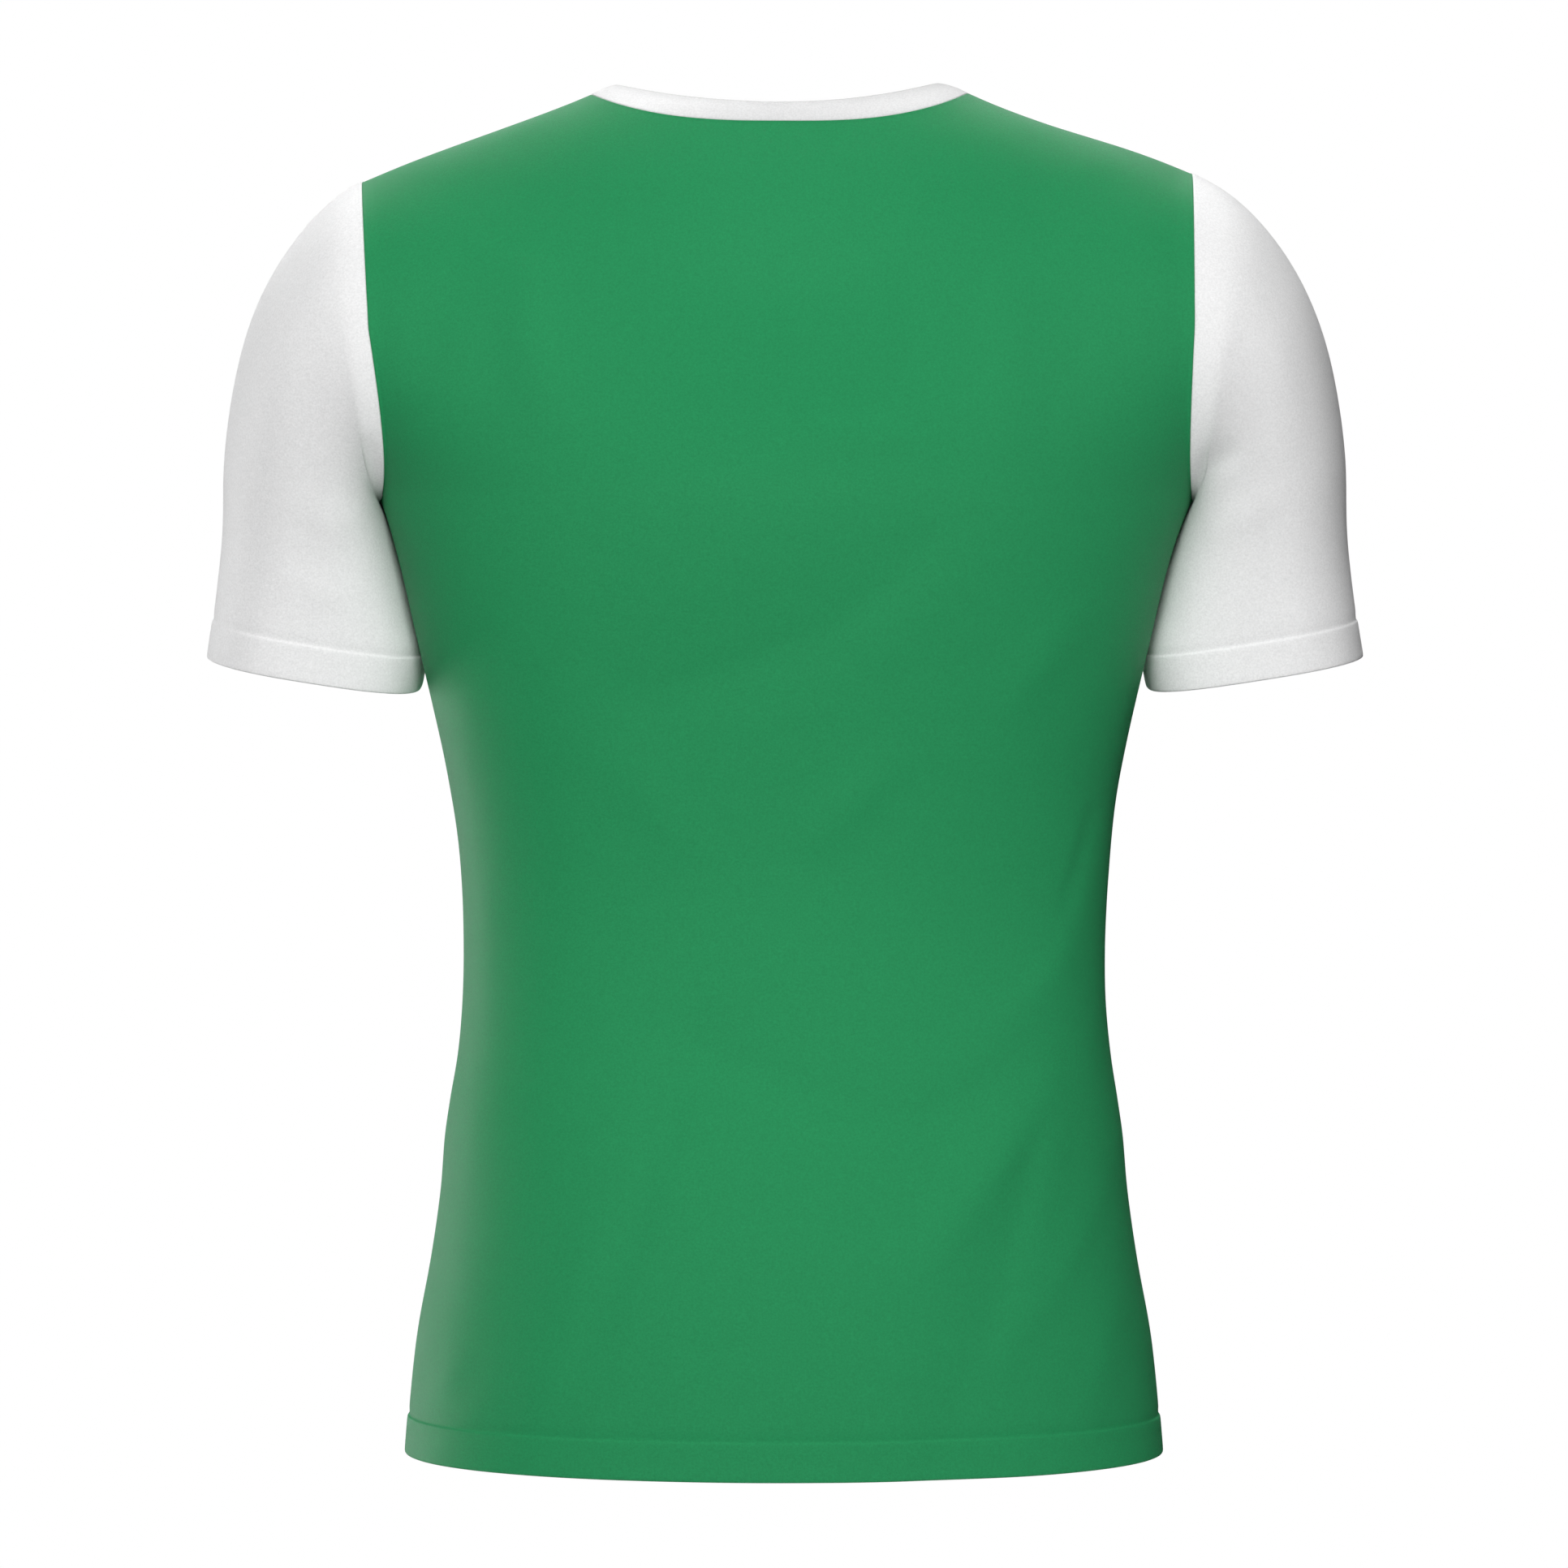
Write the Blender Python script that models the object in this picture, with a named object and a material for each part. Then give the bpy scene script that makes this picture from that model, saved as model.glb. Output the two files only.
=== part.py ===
"""Short-sleeved compression shirt in its worn form, with no wearer: a hollow shell of knitted cloth.

The pieces are the ones that a maker cuts: back, front, two sleeves and a neckband. Each is a wall of cloth
of its own, 0.3 mm from its neighbour at every seam. The hem and the cuffs are turned up, so the cloth is
double there and stands a little proud.

Frame: metres, +Z up, +Y towards the wearer's back, +X towards the wearer's left. The origin is the middle
of the shoulder line, level with the two points where the neck seam crosses the shoulders.

Every size below is in millimetres. The shirt is first drawn as one skin: rings round the trunk that end at
the neck seam, rings round each sleeve, and rings round the neckband, all of which share their points along
the seams. The walls are then made from that skin, so their edges stay parallel across each seam.
"""

import collections
import math

import bmesh
import bpy
import mathutils
import numpy as np

MM = 0.001

# Cloth
CLOTH = 1.4  # wall of one layer of knit
BAND_CLOTH = 2.2  # the neckband is a folded strip
SEAM_GAP = 0.3
SAME_POINT = 0.01  # points of two skins this close are one point of a seam
MITRE_LIMIT = 0.65  # the least cosine that a wall's edge is mitred by at a seam
HEM_STEP = 0.7  # how far the turned-up hem stands proud of the cloth above it
TURN_RISE = 2.0  # the height over which a turned-up edge does so
SMOOTH_BELOW = math.radians(40)  # edges sharper than this are shaded sharp
ROUGHNESS = 0.75
SHEEN = 0.4

# Trunk
HEM_Z = -703.0
HEM_DEPTH = 20.0
HEM_SIDE_RISE = 2.5  # the hem is this much higher at the sides, and level from HEM_SIDE_REACH up
HEM_SIDE_REACH = 150.0
UNDERARM_Z = -210.4
SIDES_DIFFER = 30.0  # the two sides are alike from this far below the underarm

# Shoulders: the seam's two ends on each side, as (distance from the middle, height)
SHOULDER_TIP = {"left": (218.4, -44.9), "right": (211.3, -40.4)}
SHOULDER_NECK = {"left": (100.0, -0.3), "right": (95.3, 0.1)}
SHOULDER_BOW = {"left": 0.6, "right": 0.0}  # how far the seam's middle bows up
SHOULDER_WAVE = {"left": 0.3, "right": 1.0}  # how far it then lies above near the tip, below near the neck

# Armholes: an oval from the underarm over the back to the shoulder tip, and down over the front
UNDERARM_X = {"left": 207.9, "right": 210.3}
UNDERARM_Y = 12.0
ARMHOLE_DEPTH = {"back": 69.0, "front": 68.0}
ARMHOLE_HOLLOW = 4.4  # how far it lies inside the line from underarm to tip at half its height
ARMHOLE_LOW_HOLLOW = {"left": 3.7, "right": 1.9}  # and how much farther below that

# Neck: the height of its seam at the middle of the back and of the front, and the band's free edge there
# and at the sides
NECK_SEAM_Z = {"back": -20.8, "front": -88.0}
NECK_EDGE_MIDDLE = {"back": (2.6, 52.5, -9.6), "front": (2.6, -79.0, -76.0)}
NECK_EDGE_SIDE = {"left": (86.5, 5.6), "right": (79.4, 6.2)}
NECK_CROWN = 0.8  # how far the band bulges between seam and edge

# The trunk above the underarms, if it closed over the neck: how high its middle would be, how deep each
# face is at the underarm and how round it is from there up, and at the very top
CROWN_Z = 17.0
UPPER_DEPTH = {"back": 116.0, "front": 116.0}
UPPER_ROUND = {"back": 1.78, "front": 1.63}
CROWN_ROUND = 2.3
CROWN_LATE = 6  # the power of the rise by which the one roundness becomes the other

# Where the ring through the shoulder tips crosses the middle of the back and of the front
TIP_RING_Z = {"back": -105.0, "front": -150.0}

UNDERARM_SQUARE = 2.4  # squareness of the trunk's ring at the underarm and at the shoulder line
SHOULDER_SQUARE = 2.1
BROAD_X = 199.0  # half the trunk's width at the underarm, but for the flare at its sides
FLARE = 7  # the power of the distance across by which that flare grows
NECK_ROUND = {"back": 2.35, "front": 2.6}  # squareness of the neck seam
NECK_EDGE_ROUND = {"back": 2.05, "front": 2.2}  # and of the band's free edge
NECK_EDGE_LIFT = 1.7  # the power by which the band's free edge falls from its side to its middle
EVEN = 0.7  # how evenly the points of the ring through the shoulder tips are spread across

SIDES = {"left": 1, "right": -1}  # the sign of x
FACES = {"back": 1, "front": -1}  # the sign of y

# Number of steps
ACROSS = 11  # from the middle of a panel to its edge
TRUNK_STEPS = 17
CROWDING = 1.4  # the power by which the trunk's rings lie closer together towards the underarm
ARMHOLE_STEPS = 10
SHOULDER_STEPS = 6
BAND_STEPS = 3
SMOOTHING = 8  # how often the rows between underarm and neck are evened out
SMOOTHING_ROWS = 5  # rows below the underarm that take part
SMOOTHING_STEP = 0.5  # how far each point moves to the middle of its neighbours, and then back

# The trunk seen from behind: half its width with and without the flare at its sides, the depth of its side
# seam and how square its ring is
Girth = collections.namedtuple("Girth", "z half broad side_y square")
GIRTHS = [
    Girth(-703.0, 195.3, 195.3, 2, 2.25),
    Girth(-681.0, 193.7, 193.7, 2, 2.25),
    Girth(-643.0, 189.7, 189.7, 3, 2.25),
    Girth(-601.0, 182.2, 182.2, 4, 2.25),
    Girth(-559.0, 176.7, 176.7, 4, 2.25),
    Girth(-538.0, 175.1, 175.1, 4, 2.25),
    Girth(-517.0, 172.1, 172.1, 4, 2.25),
    Girth(-496.0, 168.6, 168.6, 4, 2.25),
    Girth(-471.0, 166.2, 166.2, 4, 2.25),
    Girth(-429.0, 165.4, 165.4, 5, 2.25),
    Girth(-391.0, 167.5, 167.5, 6, 2.3),
    Girth(-349.0, 173.8, 173.8, 8, 2.35),
    Girth(-317.0, 180.5, 180.4, 9, 2.37),
    Girth(-286.0, 187.8, 187.0, 11, 2.4),
    Girth(-262.0, 193.2, 191.4, 11.5, 2.4),
    Girth(-240.0, 198.3, 195.3, 12, 2.4),
    Girth(-225.0, 202.2, 197.5, 12, 2.4),
    Girth(-210.4, 207.9, 199.0, 12, 2.4),
]

# The trunk up to the underarm, seen from the side: how far behind and before the shoulder line the middle of
# the back and of the front lie
Profile = collections.namedtuple("Profile", "z back front")
PROFILES = [
    Profile(-703.0, 107, 98),
    Profile(-643.0, 111, 100),
    Profile(-601.0, 110, 101),
    Profile(-559.0, 104, 102),
    Profile(-517.0, 96, 102),
    Profile(-471.0, 88, 100),
    Profile(-412.0, 85, 100),
    Profile(-349.0, 92, 105),
    Profile(-286.0, 104, 112),
    Profile(-245.0, 112, 115),
    Profile(-210.4, 116, 116),
]

# A sleeve's rings, from the shoulder to the cuff: the outermost point, how far the ring stays clear of the
# trunk and where, half its depth from back to front, how much lower its back hangs and its squareness
Ring = collections.namedtuple(
    "Ring", "outer_x outer_y outer_z clear inner_y inner_z deep tilt square"
)
SLEEVE_RINGS = [
    Ring(228.6, 0, -51.0, 0.9, 9.5, -212.0, 68.3, 0.00, 2.0),
    Ring(239.4, -1, -60.2, 0.9, 6.5, -213.8, 67.8, 0.00, 2.05),
    Ring(253.9, -2, -76.6, 0.8, 2, -216.8, 67.0, 0.01, 2.05),
    Ring(268.4, -3, -100.6, 0.8, -3, -221.0, 65.8, 0.02, 2.1),
    Ring(279.5, -5, -129.0, 0.8, -7, -226.8, 64.0, 0.03, 2.1),
    Ring(286.4, -8, -158.5, 0.9, -10, -234.6, 61.8, 0.04, 2.1),
    Ring(290.4, -12, -189.0, 0.9, -13, -244.6, 59.6, 0.06, 2.1),
    Ring(291.4, -16, -219.0, 1.0, -16, -257.0, 57.4, 0.08, 2.1),
    Ring(294.1, -19, -247.0, 1.2, -18, -272.0, 55.4, 0.10, 2.1),
    Ring(297.1, -20, -269.6, 2.4, -20, -287.6, 54.0, 0.105, 2.1),
    Ring(300.2, -21, -288.6, 9.6, -21, -306.2, 53.2, 0.105, 2.1),
]
SLEEVE_OUT = {"left": 0.0, "right": 0.8}  # how much farther out the whole outer line lies
SLEEVE_TILT = {"left": 1.25, "right": 1.0}  # how strongly each sleeve tilts
CUFF_DEPTH = 19.0
CUFF_STEP = 0.9  # how far the turned-up cuff stands proud of the cloth above it

# The largest folds, as soft troughs (below 0) and ridges between two points of a panel: their ends as
# (x, z), and the reach and height of each. All of them die away at the panel's edges.
Fold = collections.namedtuple("Fold", "x0 z0 x1 z1 reach height")
FOLDS = {
    "back": [
        Fold(40, -488, -70, -527, 26, -2.0),
        Fold(-142, -508, -84, -700, 24, -1.8),
        Fold(-150, -500, -76, -590, 22, 1.5),
        Fold(68, -560, 114, -655, 28, 1.8),
        Fold(-158, -400, -132, -480, 26, 1.6),
        Fold(-62, -245, 66, -308, 26, -1.4),
    ],
    "front": [
        Fold(-36, -470, 72, -512, 26, -1.8),
        Fold(140, -500, 92, -680, 24, -1.6),
        Fold(-70, -545, -118, -640, 28, 1.6),
        Fold(70, -250, -40, -300, 26, -1.2),
    ],
}
FOLD_EDGE = 8  # the power of the distance across a panel by which its folds die away

GREEN = (0.024, 0.262, 0.104, 1.0)
WHITE = (0.80, 0.80, 0.81, 1.0)


def through(table, column, z):
    """A smooth curve through one column of a table, read at height z."""
    known = np.array([row.z for row in table], float)
    values = np.array([getattr(row, column) for row in table], float)
    slopes = np.gradient(values, known)
    i = int(np.clip(np.searchsorted(known, z) - 1, 0, len(known) - 2))
    span = known[i + 1] - known[i]
    t = (z - known[i]) / span
    return (
        values[i] * (1 + 2 * t) * (1 - t) ** 2
        + values[i + 1] * (3 - 2 * t) * t**2
        + span * t * (1 - t) * (slopes[i] * (1 - t) - slopes[i + 1] * t)
    )


def rounded(turn, square):
    """(sine, cosine) of a turn, moved out to a superellipse."""
    sine, cosine = np.sin(turn), np.cos(turn)
    out = (np.abs(sine) ** square + np.abs(cosine) ** square) ** (-1 / square)
    return sine * out, cosine * out


def rise_of(turn):
    """How far up from the underarm a turn of the armhole is: 0 at the underarm, 1 at half a turn."""
    return (1 - math.cos(turn)) / 2


def armhole(side, face, turn):
    """A point of the armhole: at 0 the underarm, at half a turn the shoulder tip."""
    rise = rise_of(turn)
    tip_x, tip_z = SHOULDER_TIP[side]
    x = UNDERARM_X[side] + (tip_x - UNDERARM_X[side]) * rise
    x -= ARMHOLE_HOLLOW * math.sin(turn) + ARMHOLE_LOW_HOLLOW[side] * max(0, math.sin(2 * turn))
    y = UNDERARM_Y * (1 - rise) + FACES[face] * ARMHOLE_DEPTH[face] * math.sin(turn)
    return np.array([SIDES[side] * x, y, UNDERARM_Z + (tip_z - UNDERARM_Z) * rise])


def shoulder_height(side, x):
    """The height of the shoulder line, which runs on over the neck as an arch."""
    tip_x, tip_z = SHOULDER_TIP[side]
    neck_x, neck_z = SHOULDER_NECK[side]
    if x < neck_x:
        return CROWN_Z + (neck_z - CROWN_Z) * (x / neck_x) ** 2
    share = (tip_x - x) / (tip_x - neck_x)
    bow = SHOULDER_BOW[side] * math.sin(math.pi * share)
    wave = SHOULDER_WAVE[side] * math.sin(2 * math.pi * share)
    return tip_z + (neck_z - tip_z) * share + bow + wave


def upper(side, face, wide, turn):
    """A point of the trunk above the underarm. wide is 0 in the middle and 1 at the armhole, and turn is the
    armhole's, so that half a turn is the shoulder line."""
    rise = rise_of(turn)
    edge = armhole(side, face, turn)
    broad = BROAD_X + (SHOULDER_TIP[side][0] - BROAD_X) * rise
    x = broad * wide + (abs(edge[0]) - broad) * wide**FLARE
    top_z = shoulder_height(side, x * SHOULDER_TIP[side][0] / abs(edge[0]))
    z = UNDERARM_Z + (top_z - UNDERARM_Z) * rise
    if turn == math.pi:
        return np.array([SIDES[side] * x, 0, z])
    roundness = UPPER_ROUND[face] + (CROWN_ROUND - UPPER_ROUND[face]) * rise**CROWN_LATE
    middle_y = FACES[face] * UPPER_DEPTH[face] * (1 - rise**roundness) ** (1 / roundness)
    side_y = UNDERARM_Y * (1 - rise)
    square = UNDERARM_SQUARE + (SHOULDER_SQUARE - UNDERARM_SQUARE) * rise
    share = (edge[1] - side_y) / (middle_y - side_y)
    last = (1 - share**square) ** (1 / square)
    deep = (1 - (wide * last) ** square) ** (1 / square)
    return np.array([SIDES[side] * x, side_y + (middle_y - side_y) * deep, z])


def turn_at(z):
    """The turn at which the middle of the trunk is at a height."""
    return math.acos(1 - 2 * (z - UNDERARM_Z) / (CROWN_Z - UNDERARM_Z))


def spread(square, even):
    """Shares of the way across a panel, as a ring's points have them, or more evenly."""
    wide, _ = rounded(np.linspace(0, math.pi / 2, ACROSS + 1), square)
    return wide * (1 - even) + np.linspace(0, 1, ACROSS + 1) * even


def near_underarm(z):
    """1 at the height of the underarm, and down to 0 a little below it."""
    return max(0.0, 1 - (UNDERARM_Z - z) / SIDES_DIFFER)


def girth_at(side, z):
    """The trunk's girth at a height, on one side."""
    columns = {name: through(GIRTHS, name, z) for name in Girth._fields[1:]}
    columns["half"] += (UNDERARM_X[side] - GIRTHS[-1].half) * near_underarm(z)
    return Girth(z, **columns)


def trunk_side(side, y, z):
    """How far out the front of the trunk's side is at a depth and height."""
    girth = girth_at(side, z)
    share = max(0, girth.side_y - y) / (girth.side_y + through(PROFILES, "front", z))
    wide = (1 - share**girth.square) ** (1 / girth.square)
    return girth.broad * wide + (girth.half - girth.broad) * wide**FLARE


def trunk_half_row(side, face, z):
    """Points of the trunk at one height, from the middle of a panel to its side seam."""
    girth = girth_at(side, z)
    wide, deep = rounded(np.linspace(0, math.pi / 2, ACROSS + 1), girth.square)
    middle_y = FACES[face] * through(PROFILES, face, z)
    x = girth.broad * wide + (girth.half - girth.broad) * wide**FLARE
    y = girth.side_y + (middle_y - girth.side_y) * deep
    side_rise = HEM_SIDE_RISE * max(0, 1 - (z - HEM_Z) / HEM_SIDE_REACH)
    return np.stack([SIDES[side] * x, y, z + side_rise * (1 - deep)], axis=1)


def armhole_half_row(side, face, share):
    """Points from the middle of a panel to the armhole. share is 0 at the underarm and 1 at its tip."""
    middle_turn = turn_at(UNDERARM_Z + (TIP_RING_Z[face] - UNDERARM_Z) * share)
    edge_turn = math.pi * share
    square = UNDERARM_SQUARE + (SHOULDER_SQUARE - UNDERARM_SQUARE) * share
    widths = spread(square, EVEN * share)
    turns = middle_turn + (edge_turn - middle_turn) * widths**2
    return np.array([upper(side, face, wide, turn) for wide, turn in zip(widths, turns)])


def shoulder_half_row(side, face, share):
    """Points from the middle of a panel to the shoulder seam. share is 0 at its tip and 1 at the neck."""
    middle_turn = turn_at(TIP_RING_Z[face] + (NECK_SEAM_Z[face] - TIP_RING_Z[face]) * share)
    tip_x = SHOULDER_TIP[side][0]
    seam_x = tip_x + (SHOULDER_NECK[side][0] - tip_x) * share
    places = spread(NECK_ROUND[face], EVEN * (1 - share))
    level = places**2
    arch = 1 - (1 - places ** NECK_ROUND[face]) ** (1 / NECK_ROUND[face])
    turns = middle_turn + (math.pi - middle_turn) * (level + (arch - level) * share)
    widths = places * seam_x / tip_x
    return np.array([upper(side, face, wide, turn) for wide, turn in zip(widths, turns)])


def across(half_row, face, at):
    """A whole row, from the left edge of a panel to its right one."""
    left, right = (half_row(side, face, at) for side in SIDES)
    return np.concatenate([left[::-1], right[1:]])


def body_skin(face):
    """The outer surface of the back or the front, as rows of points from hem to neck seam."""
    fold_z = HEM_Z + HEM_DEPTH
    heights = [HEM_Z, fold_z - TURN_RISE / 2]
    left_to_go = np.linspace(1, 0, TRUNK_STEPS + 1) ** CROWDING
    heights += list(UNDERARM_Z + (fold_z + TURN_RISE / 2 - UNDERARM_Z) * left_to_go)
    rows = [across(trunk_half_row, face, z) for z in heights]
    rows += [across(armhole_half_row, face, (k + 1) / ARMHOLE_STEPS) for k in range(ARMHOLE_STEPS)]
    rows += [across(shoulder_half_row, face, (k + 1) / SHOULDER_STEPS) for k in range(SHOULDER_STEPS)]
    grid = np.array(rows)
    top = grid[len(heights) - SMOOTHING_ROWS :]
    for _ in range(SMOOTHING):
        for step in (SMOOTHING_STEP, -SMOOTHING_STEP):
            around = top[:-2, 1:-1] + top[2:, 1:-1] + top[1:-1, :-2] + top[1:-1, 2:]
            top[1:-1, 1:-1] += step * (around / 4 - top[1:-1, 1:-1])
    return grid


def neck_edge_half_row(side, face, _):
    """The neckband's free edge, from the middle of the back or the front to the side."""
    wide, deep = rounded(np.linspace(0, math.pi / 2, ACROSS + 1), NECK_EDGE_ROUND[face])
    middle = NECK_EDGE_MIDDLE[face]
    side_x, side_z = NECK_EDGE_SIDE[side]
    x = middle[0] + (SIDES[side] * side_x - middle[0]) * wide
    z = side_z + (middle[2] - side_z) * deep**NECK_EDGE_LIFT
    return np.stack([x, middle[1] * deep, z], axis=1)


def ring_of(back_row, front_row):
    """A closed ring of two rows: across the back from left to right, and back across the front."""
    return np.concatenate([back_row[:-1], front_row[:0:-1]])


def neckband_skin(back, front):
    """The band's outer surface: rows from the neck seam to its free edge, each a closed ring."""
    seam = ring_of(back[-1], front[-1])
    edge = ring_of(*(across(neck_edge_half_row, face, None) for face in FACES))
    shares = np.linspace(0, 1, BAND_STEPS + 1)
    grid = np.array([seam + (edge - seam) * share for share in shares])
    crown = NECK_CROWN * np.sin(math.pi * shares)
    return grid + normals_of(grid, True) * crown[:, None, None]


def sleeve_ring(ring, side):
    """A closed ring of a sleeve, from the underarm over the back to the top and down the front."""
    turns = np.arange(2 * ARMHOLE_STEPS) * math.pi / ARMHOLE_STEPS
    sine, cosine = rounded(turns, ring.square)
    outer = np.array([ring.outer_x + SLEEVE_OUT[side], ring.outer_y, ring.outer_z])
    inner_x = trunk_side(side, ring.inner_y, ring.inner_z) + ring.clear
    inner = np.array([inner_x, ring.inner_y, ring.inner_z])
    points = inner + (outer - inner) * ((1 - cosine) / 2)[:, None]
    points[:, 1] += ring.deep * sine
    points[:, 2] -= ring.tilt * SLEEVE_TILT[side] * ring.deep * sine
    return points * [SIDES[side], 1, 1]


def sleeve_skin(side):
    """A sleeve's outer surface: rings from the armhole to the cuff, with its fold one row above the edge."""
    turns = np.arange(ARMHOLE_STEPS + 1) * math.pi / ARMHOLE_STEPS
    back, front = ([armhole(side, face, turn) for turn in turns] for face in FACES)
    rings = [np.array(back + front[-2:0:-1])]
    rings += [sleeve_ring(ring, side) for ring in SLEEVE_RINGS]
    above, edge = rings[-2], rings[-1]
    fold_low = above + (edge - above) * TURN_RISE / CUFF_DEPTH
    return np.array([*rings[:-1], fold_low, edge])


def normals_of(grid, round_it):
    """Outward normals of a grid of points. round_it says that its rows are closed rings."""
    wide = np.concatenate([grid[:, -1:], grid, grid[:, :1]], axis=1) if round_it else grid
    across = np.gradient(wide, axis=1)
    across = across[:, 1:-1] if round_it else across
    normals = np.cross(across, np.gradient(grid, axis=0))
    normals /= np.linalg.norm(normals, axis=2, keepdims=True)
    from_middle = grid - grid.mean(axis=1, keepdims=True)
    return normals * np.sign((normals * from_middle).sum())


def fold_heights(grid, face):
    """How far the folds move each point of a body panel in or out."""
    moved = np.zeros(grid.shape[:2])
    for fold in FOLDS[face]:
        start, end = np.array([fold.x0, fold.z0]), np.array([fold.x1, fold.z1])
        run = end - start
        place = grid[:, :, [0, 2]] - start
        along = np.clip((place @ run) / (run @ run), 0, 1)
        away = np.linalg.norm(place - along[:, :, None] * run, axis=2)
        moved += fold.height * np.exp(-((away / fold.reach) ** 2))
    return moved * (1 - np.abs(np.linspace(-1, 1, grid.shape[1])) ** FOLD_EDGE)


def join_normals(skins, normals):
    """Gives every skin the same normal where skins meet, so that their edges stay parallel."""
    points = np.concatenate([skin.reshape(-1, 3) for skin in skins.values()])
    own = np.concatenate([normals[name].reshape(-1, 3) for name in skins])
    of_body = np.concatenate([np.full(skin.size // 3, name in FACES) for name, skin in skins.items()])
    tree = mathutils.kdtree.KDTree(len(points))
    for i, point in enumerate(points):
        tree.insert(point, i)
    tree.balance()
    total = np.zeros(points.shape)
    for i, point in enumerate(points):
        meeting = [other for _, other, _ in tree.find_range(point, SAME_POINT)]
        for other in meeting:
            # Where three pieces meet, the back and the front each fill a quarter of the turn.
            total[i] += own[other] * (0.5 if len(meeting) == 3 and of_body[other] else 1)
    total /= np.linalg.norm(total, axis=1, keepdims=True)
    total /= np.maximum((total * own).sum(axis=1, keepdims=True), MITRE_LIMIT)
    joined, start = {}, 0
    for name, skin in skins.items():
        count = skin.size // 3
        joined[name] = total[start : start + count].reshape(skin.shape)
        start += count
    return joined


def pull_back(skin, normals, edges, corners, round_it):
    """How far each point moves for half a seam's gap: away from the seam, and square to it."""
    moved = np.zeros(skin.shape)
    for axis, at, inside in edges:
        edge = skin.take(at, axis=axis)
        if round_it:
            along = np.roll(edge, -1, axis=0) - np.roll(edge, 1, axis=0)
        else:
            along = np.gradient(edge, axis=0)
        away = np.cross(along, normals.take(at, axis=axis))
        away /= np.linalg.norm(away, axis=1, keepdims=True)
        inward = skin.take(inside, axis=axis) - edge
        away *= np.sign((away * inward).sum(axis=1, keepdims=True))
        place = (at, slice(None)) if axis == 0 else (slice(None), at)
        moved[place] += away * SEAM_GAP / 2
    for row, at, inside in corners:
        inward = skin[row, inside] - skin[row, at]
        moved[row, at] += inward / np.linalg.norm(inward) * SEAM_GAP / 2
    return moved


def cloth_material(name, colour):
    material = bpy.data.materials.new(name)
    material.use_nodes = True
    shader = material.node_tree.nodes["Principled BSDF"]
    shader.inputs["Base Color"].default_value = colour
    shader.inputs["Roughness"].default_value = ROUGHNESS
    shader.inputs["Metallic"].default_value = 0.0
    shader.inputs["Sheen Weight"].default_value = SHEEN
    return material


def cloth_wall(name, outer, inner, round_it, material, collection):
    """A closed wall of cloth between an outer and an inner grid of points, in millimetres."""
    mesh_of_piece = bmesh.new()
    layers = [[[mesh_of_piece.verts.new(p * MM) for p in row] for row in grid] for grid in (outer, inner)]
    rows, columns = outer.shape[:2]
    last = columns if round_it else columns - 1

    def strip(a, b):
        for c in range(last):
            following = (c + 1) % columns
            mesh_of_piece.faces.new((a[c], a[following], b[following], b[c]))

    for layer in layers:
        for r in range(rows - 1):
            strip(layer[r], layer[r + 1])
    for r in (0, rows - 1):
        strip(layers[0][r], layers[1][r])
    if not round_it:
        for c in (0, columns - 1):
            for r in range(rows - 1):
                corners = [layers[0][r][c], layers[0][r + 1][c], layers[1][r + 1][c], layers[1][r][c]]
                mesh_of_piece.faces.new(corners)
    bmesh.ops.recalc_face_normals(mesh_of_piece, faces=mesh_of_piece.faces)
    mesh = bpy.data.meshes.new(name)
    mesh_of_piece.to_mesh(mesh)
    mesh_of_piece.free()
    mesh.materials.append(material)
    mesh.shade_smooth()
    mesh.set_sharp_from_angle(angle=SMOOTH_BELOW)
    piece = bpy.data.objects.new(name, mesh)
    collection.objects.link(piece)
    return piece


def main():
    for old in list(bpy.data.objects):
        bpy.data.objects.remove(old)
    shirt = bpy.data.collections.new("compression_shirt")
    bpy.context.scene.collection.children.link(shirt)
    green = cloth_material("green_knit", GREEN)
    white = cloth_material("white_knit", WHITE)

    skins = {face: body_skin(face) for face in FACES}
    skins.update({f"sleeve_{side}": sleeve_skin(side) for side in SIDES})
    skins["neckband"] = neckband_skin(skins["back"], skins["front"])
    rings = {name: name not in FACES for name in skins}
    normals = join_normals(skins, {name: normals_of(skins[name], rings[name]) for name in skins})

    # Edges with a seam, as (axis, place of the edge, place of the points next to it), and the two corners
    # of a body panel where its side seam meets the armhole
    body_edges = [(1, 0, 1), (1, -1, -2), (0, -1, -2)]
    ring_edges = [(0, 0, 1)]
    underarm_row = -1 - SHOULDER_STEPS - ARMHOLE_STEPS
    underarms = [(underarm_row, 0, 1), (underarm_row, -1, -2)]
    for name, skin in skins.items():
        thick = BAND_CLOTH if name == "neckband" else CLOTH
        folded = np.zeros(skin.shape[:2])
        proud = np.zeros(skin.shape[:2])
        if name in FACES:
            folded = fold_heights(skin, name)
            proud[:2] = HEM_STEP
        elif name != "neckband":
            proud[-2:] = CUFF_STEP
        edges, corners = (ring_edges, []) if rings[name] else (body_edges, underarms)
        skin = skin + pull_back(skin, normals[name], edges, corners, rings[name])
        outer = skin + normals[name] * (folded + proud)[:, :, None]
        inner = skin + normals[name] * (folded - thick)[:, :, None]
        node = f"{name}_panel" if name in FACES else name
        cloth = green if name in FACES else white
        cloth_wall(node, outer, inner, rings[name], cloth, shirt)


main()
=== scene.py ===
"""Looks of a short-sleeved compression shirt in its worn form: a fine shell of knitted cloth for each piece.

The shells lie on the solids that they stand for: back, front, two sleeves and a neckband. They are drawn as
the solids are, from the same sizes, but in finer steps, because creases, turned edges and seams need them.
Frame: +Z up, +Y towards the wearer's back, +X towards the wearer's left. The cloth's sizes are in millimetres
and the stage's in metres.
"""

import collections
import math

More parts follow.
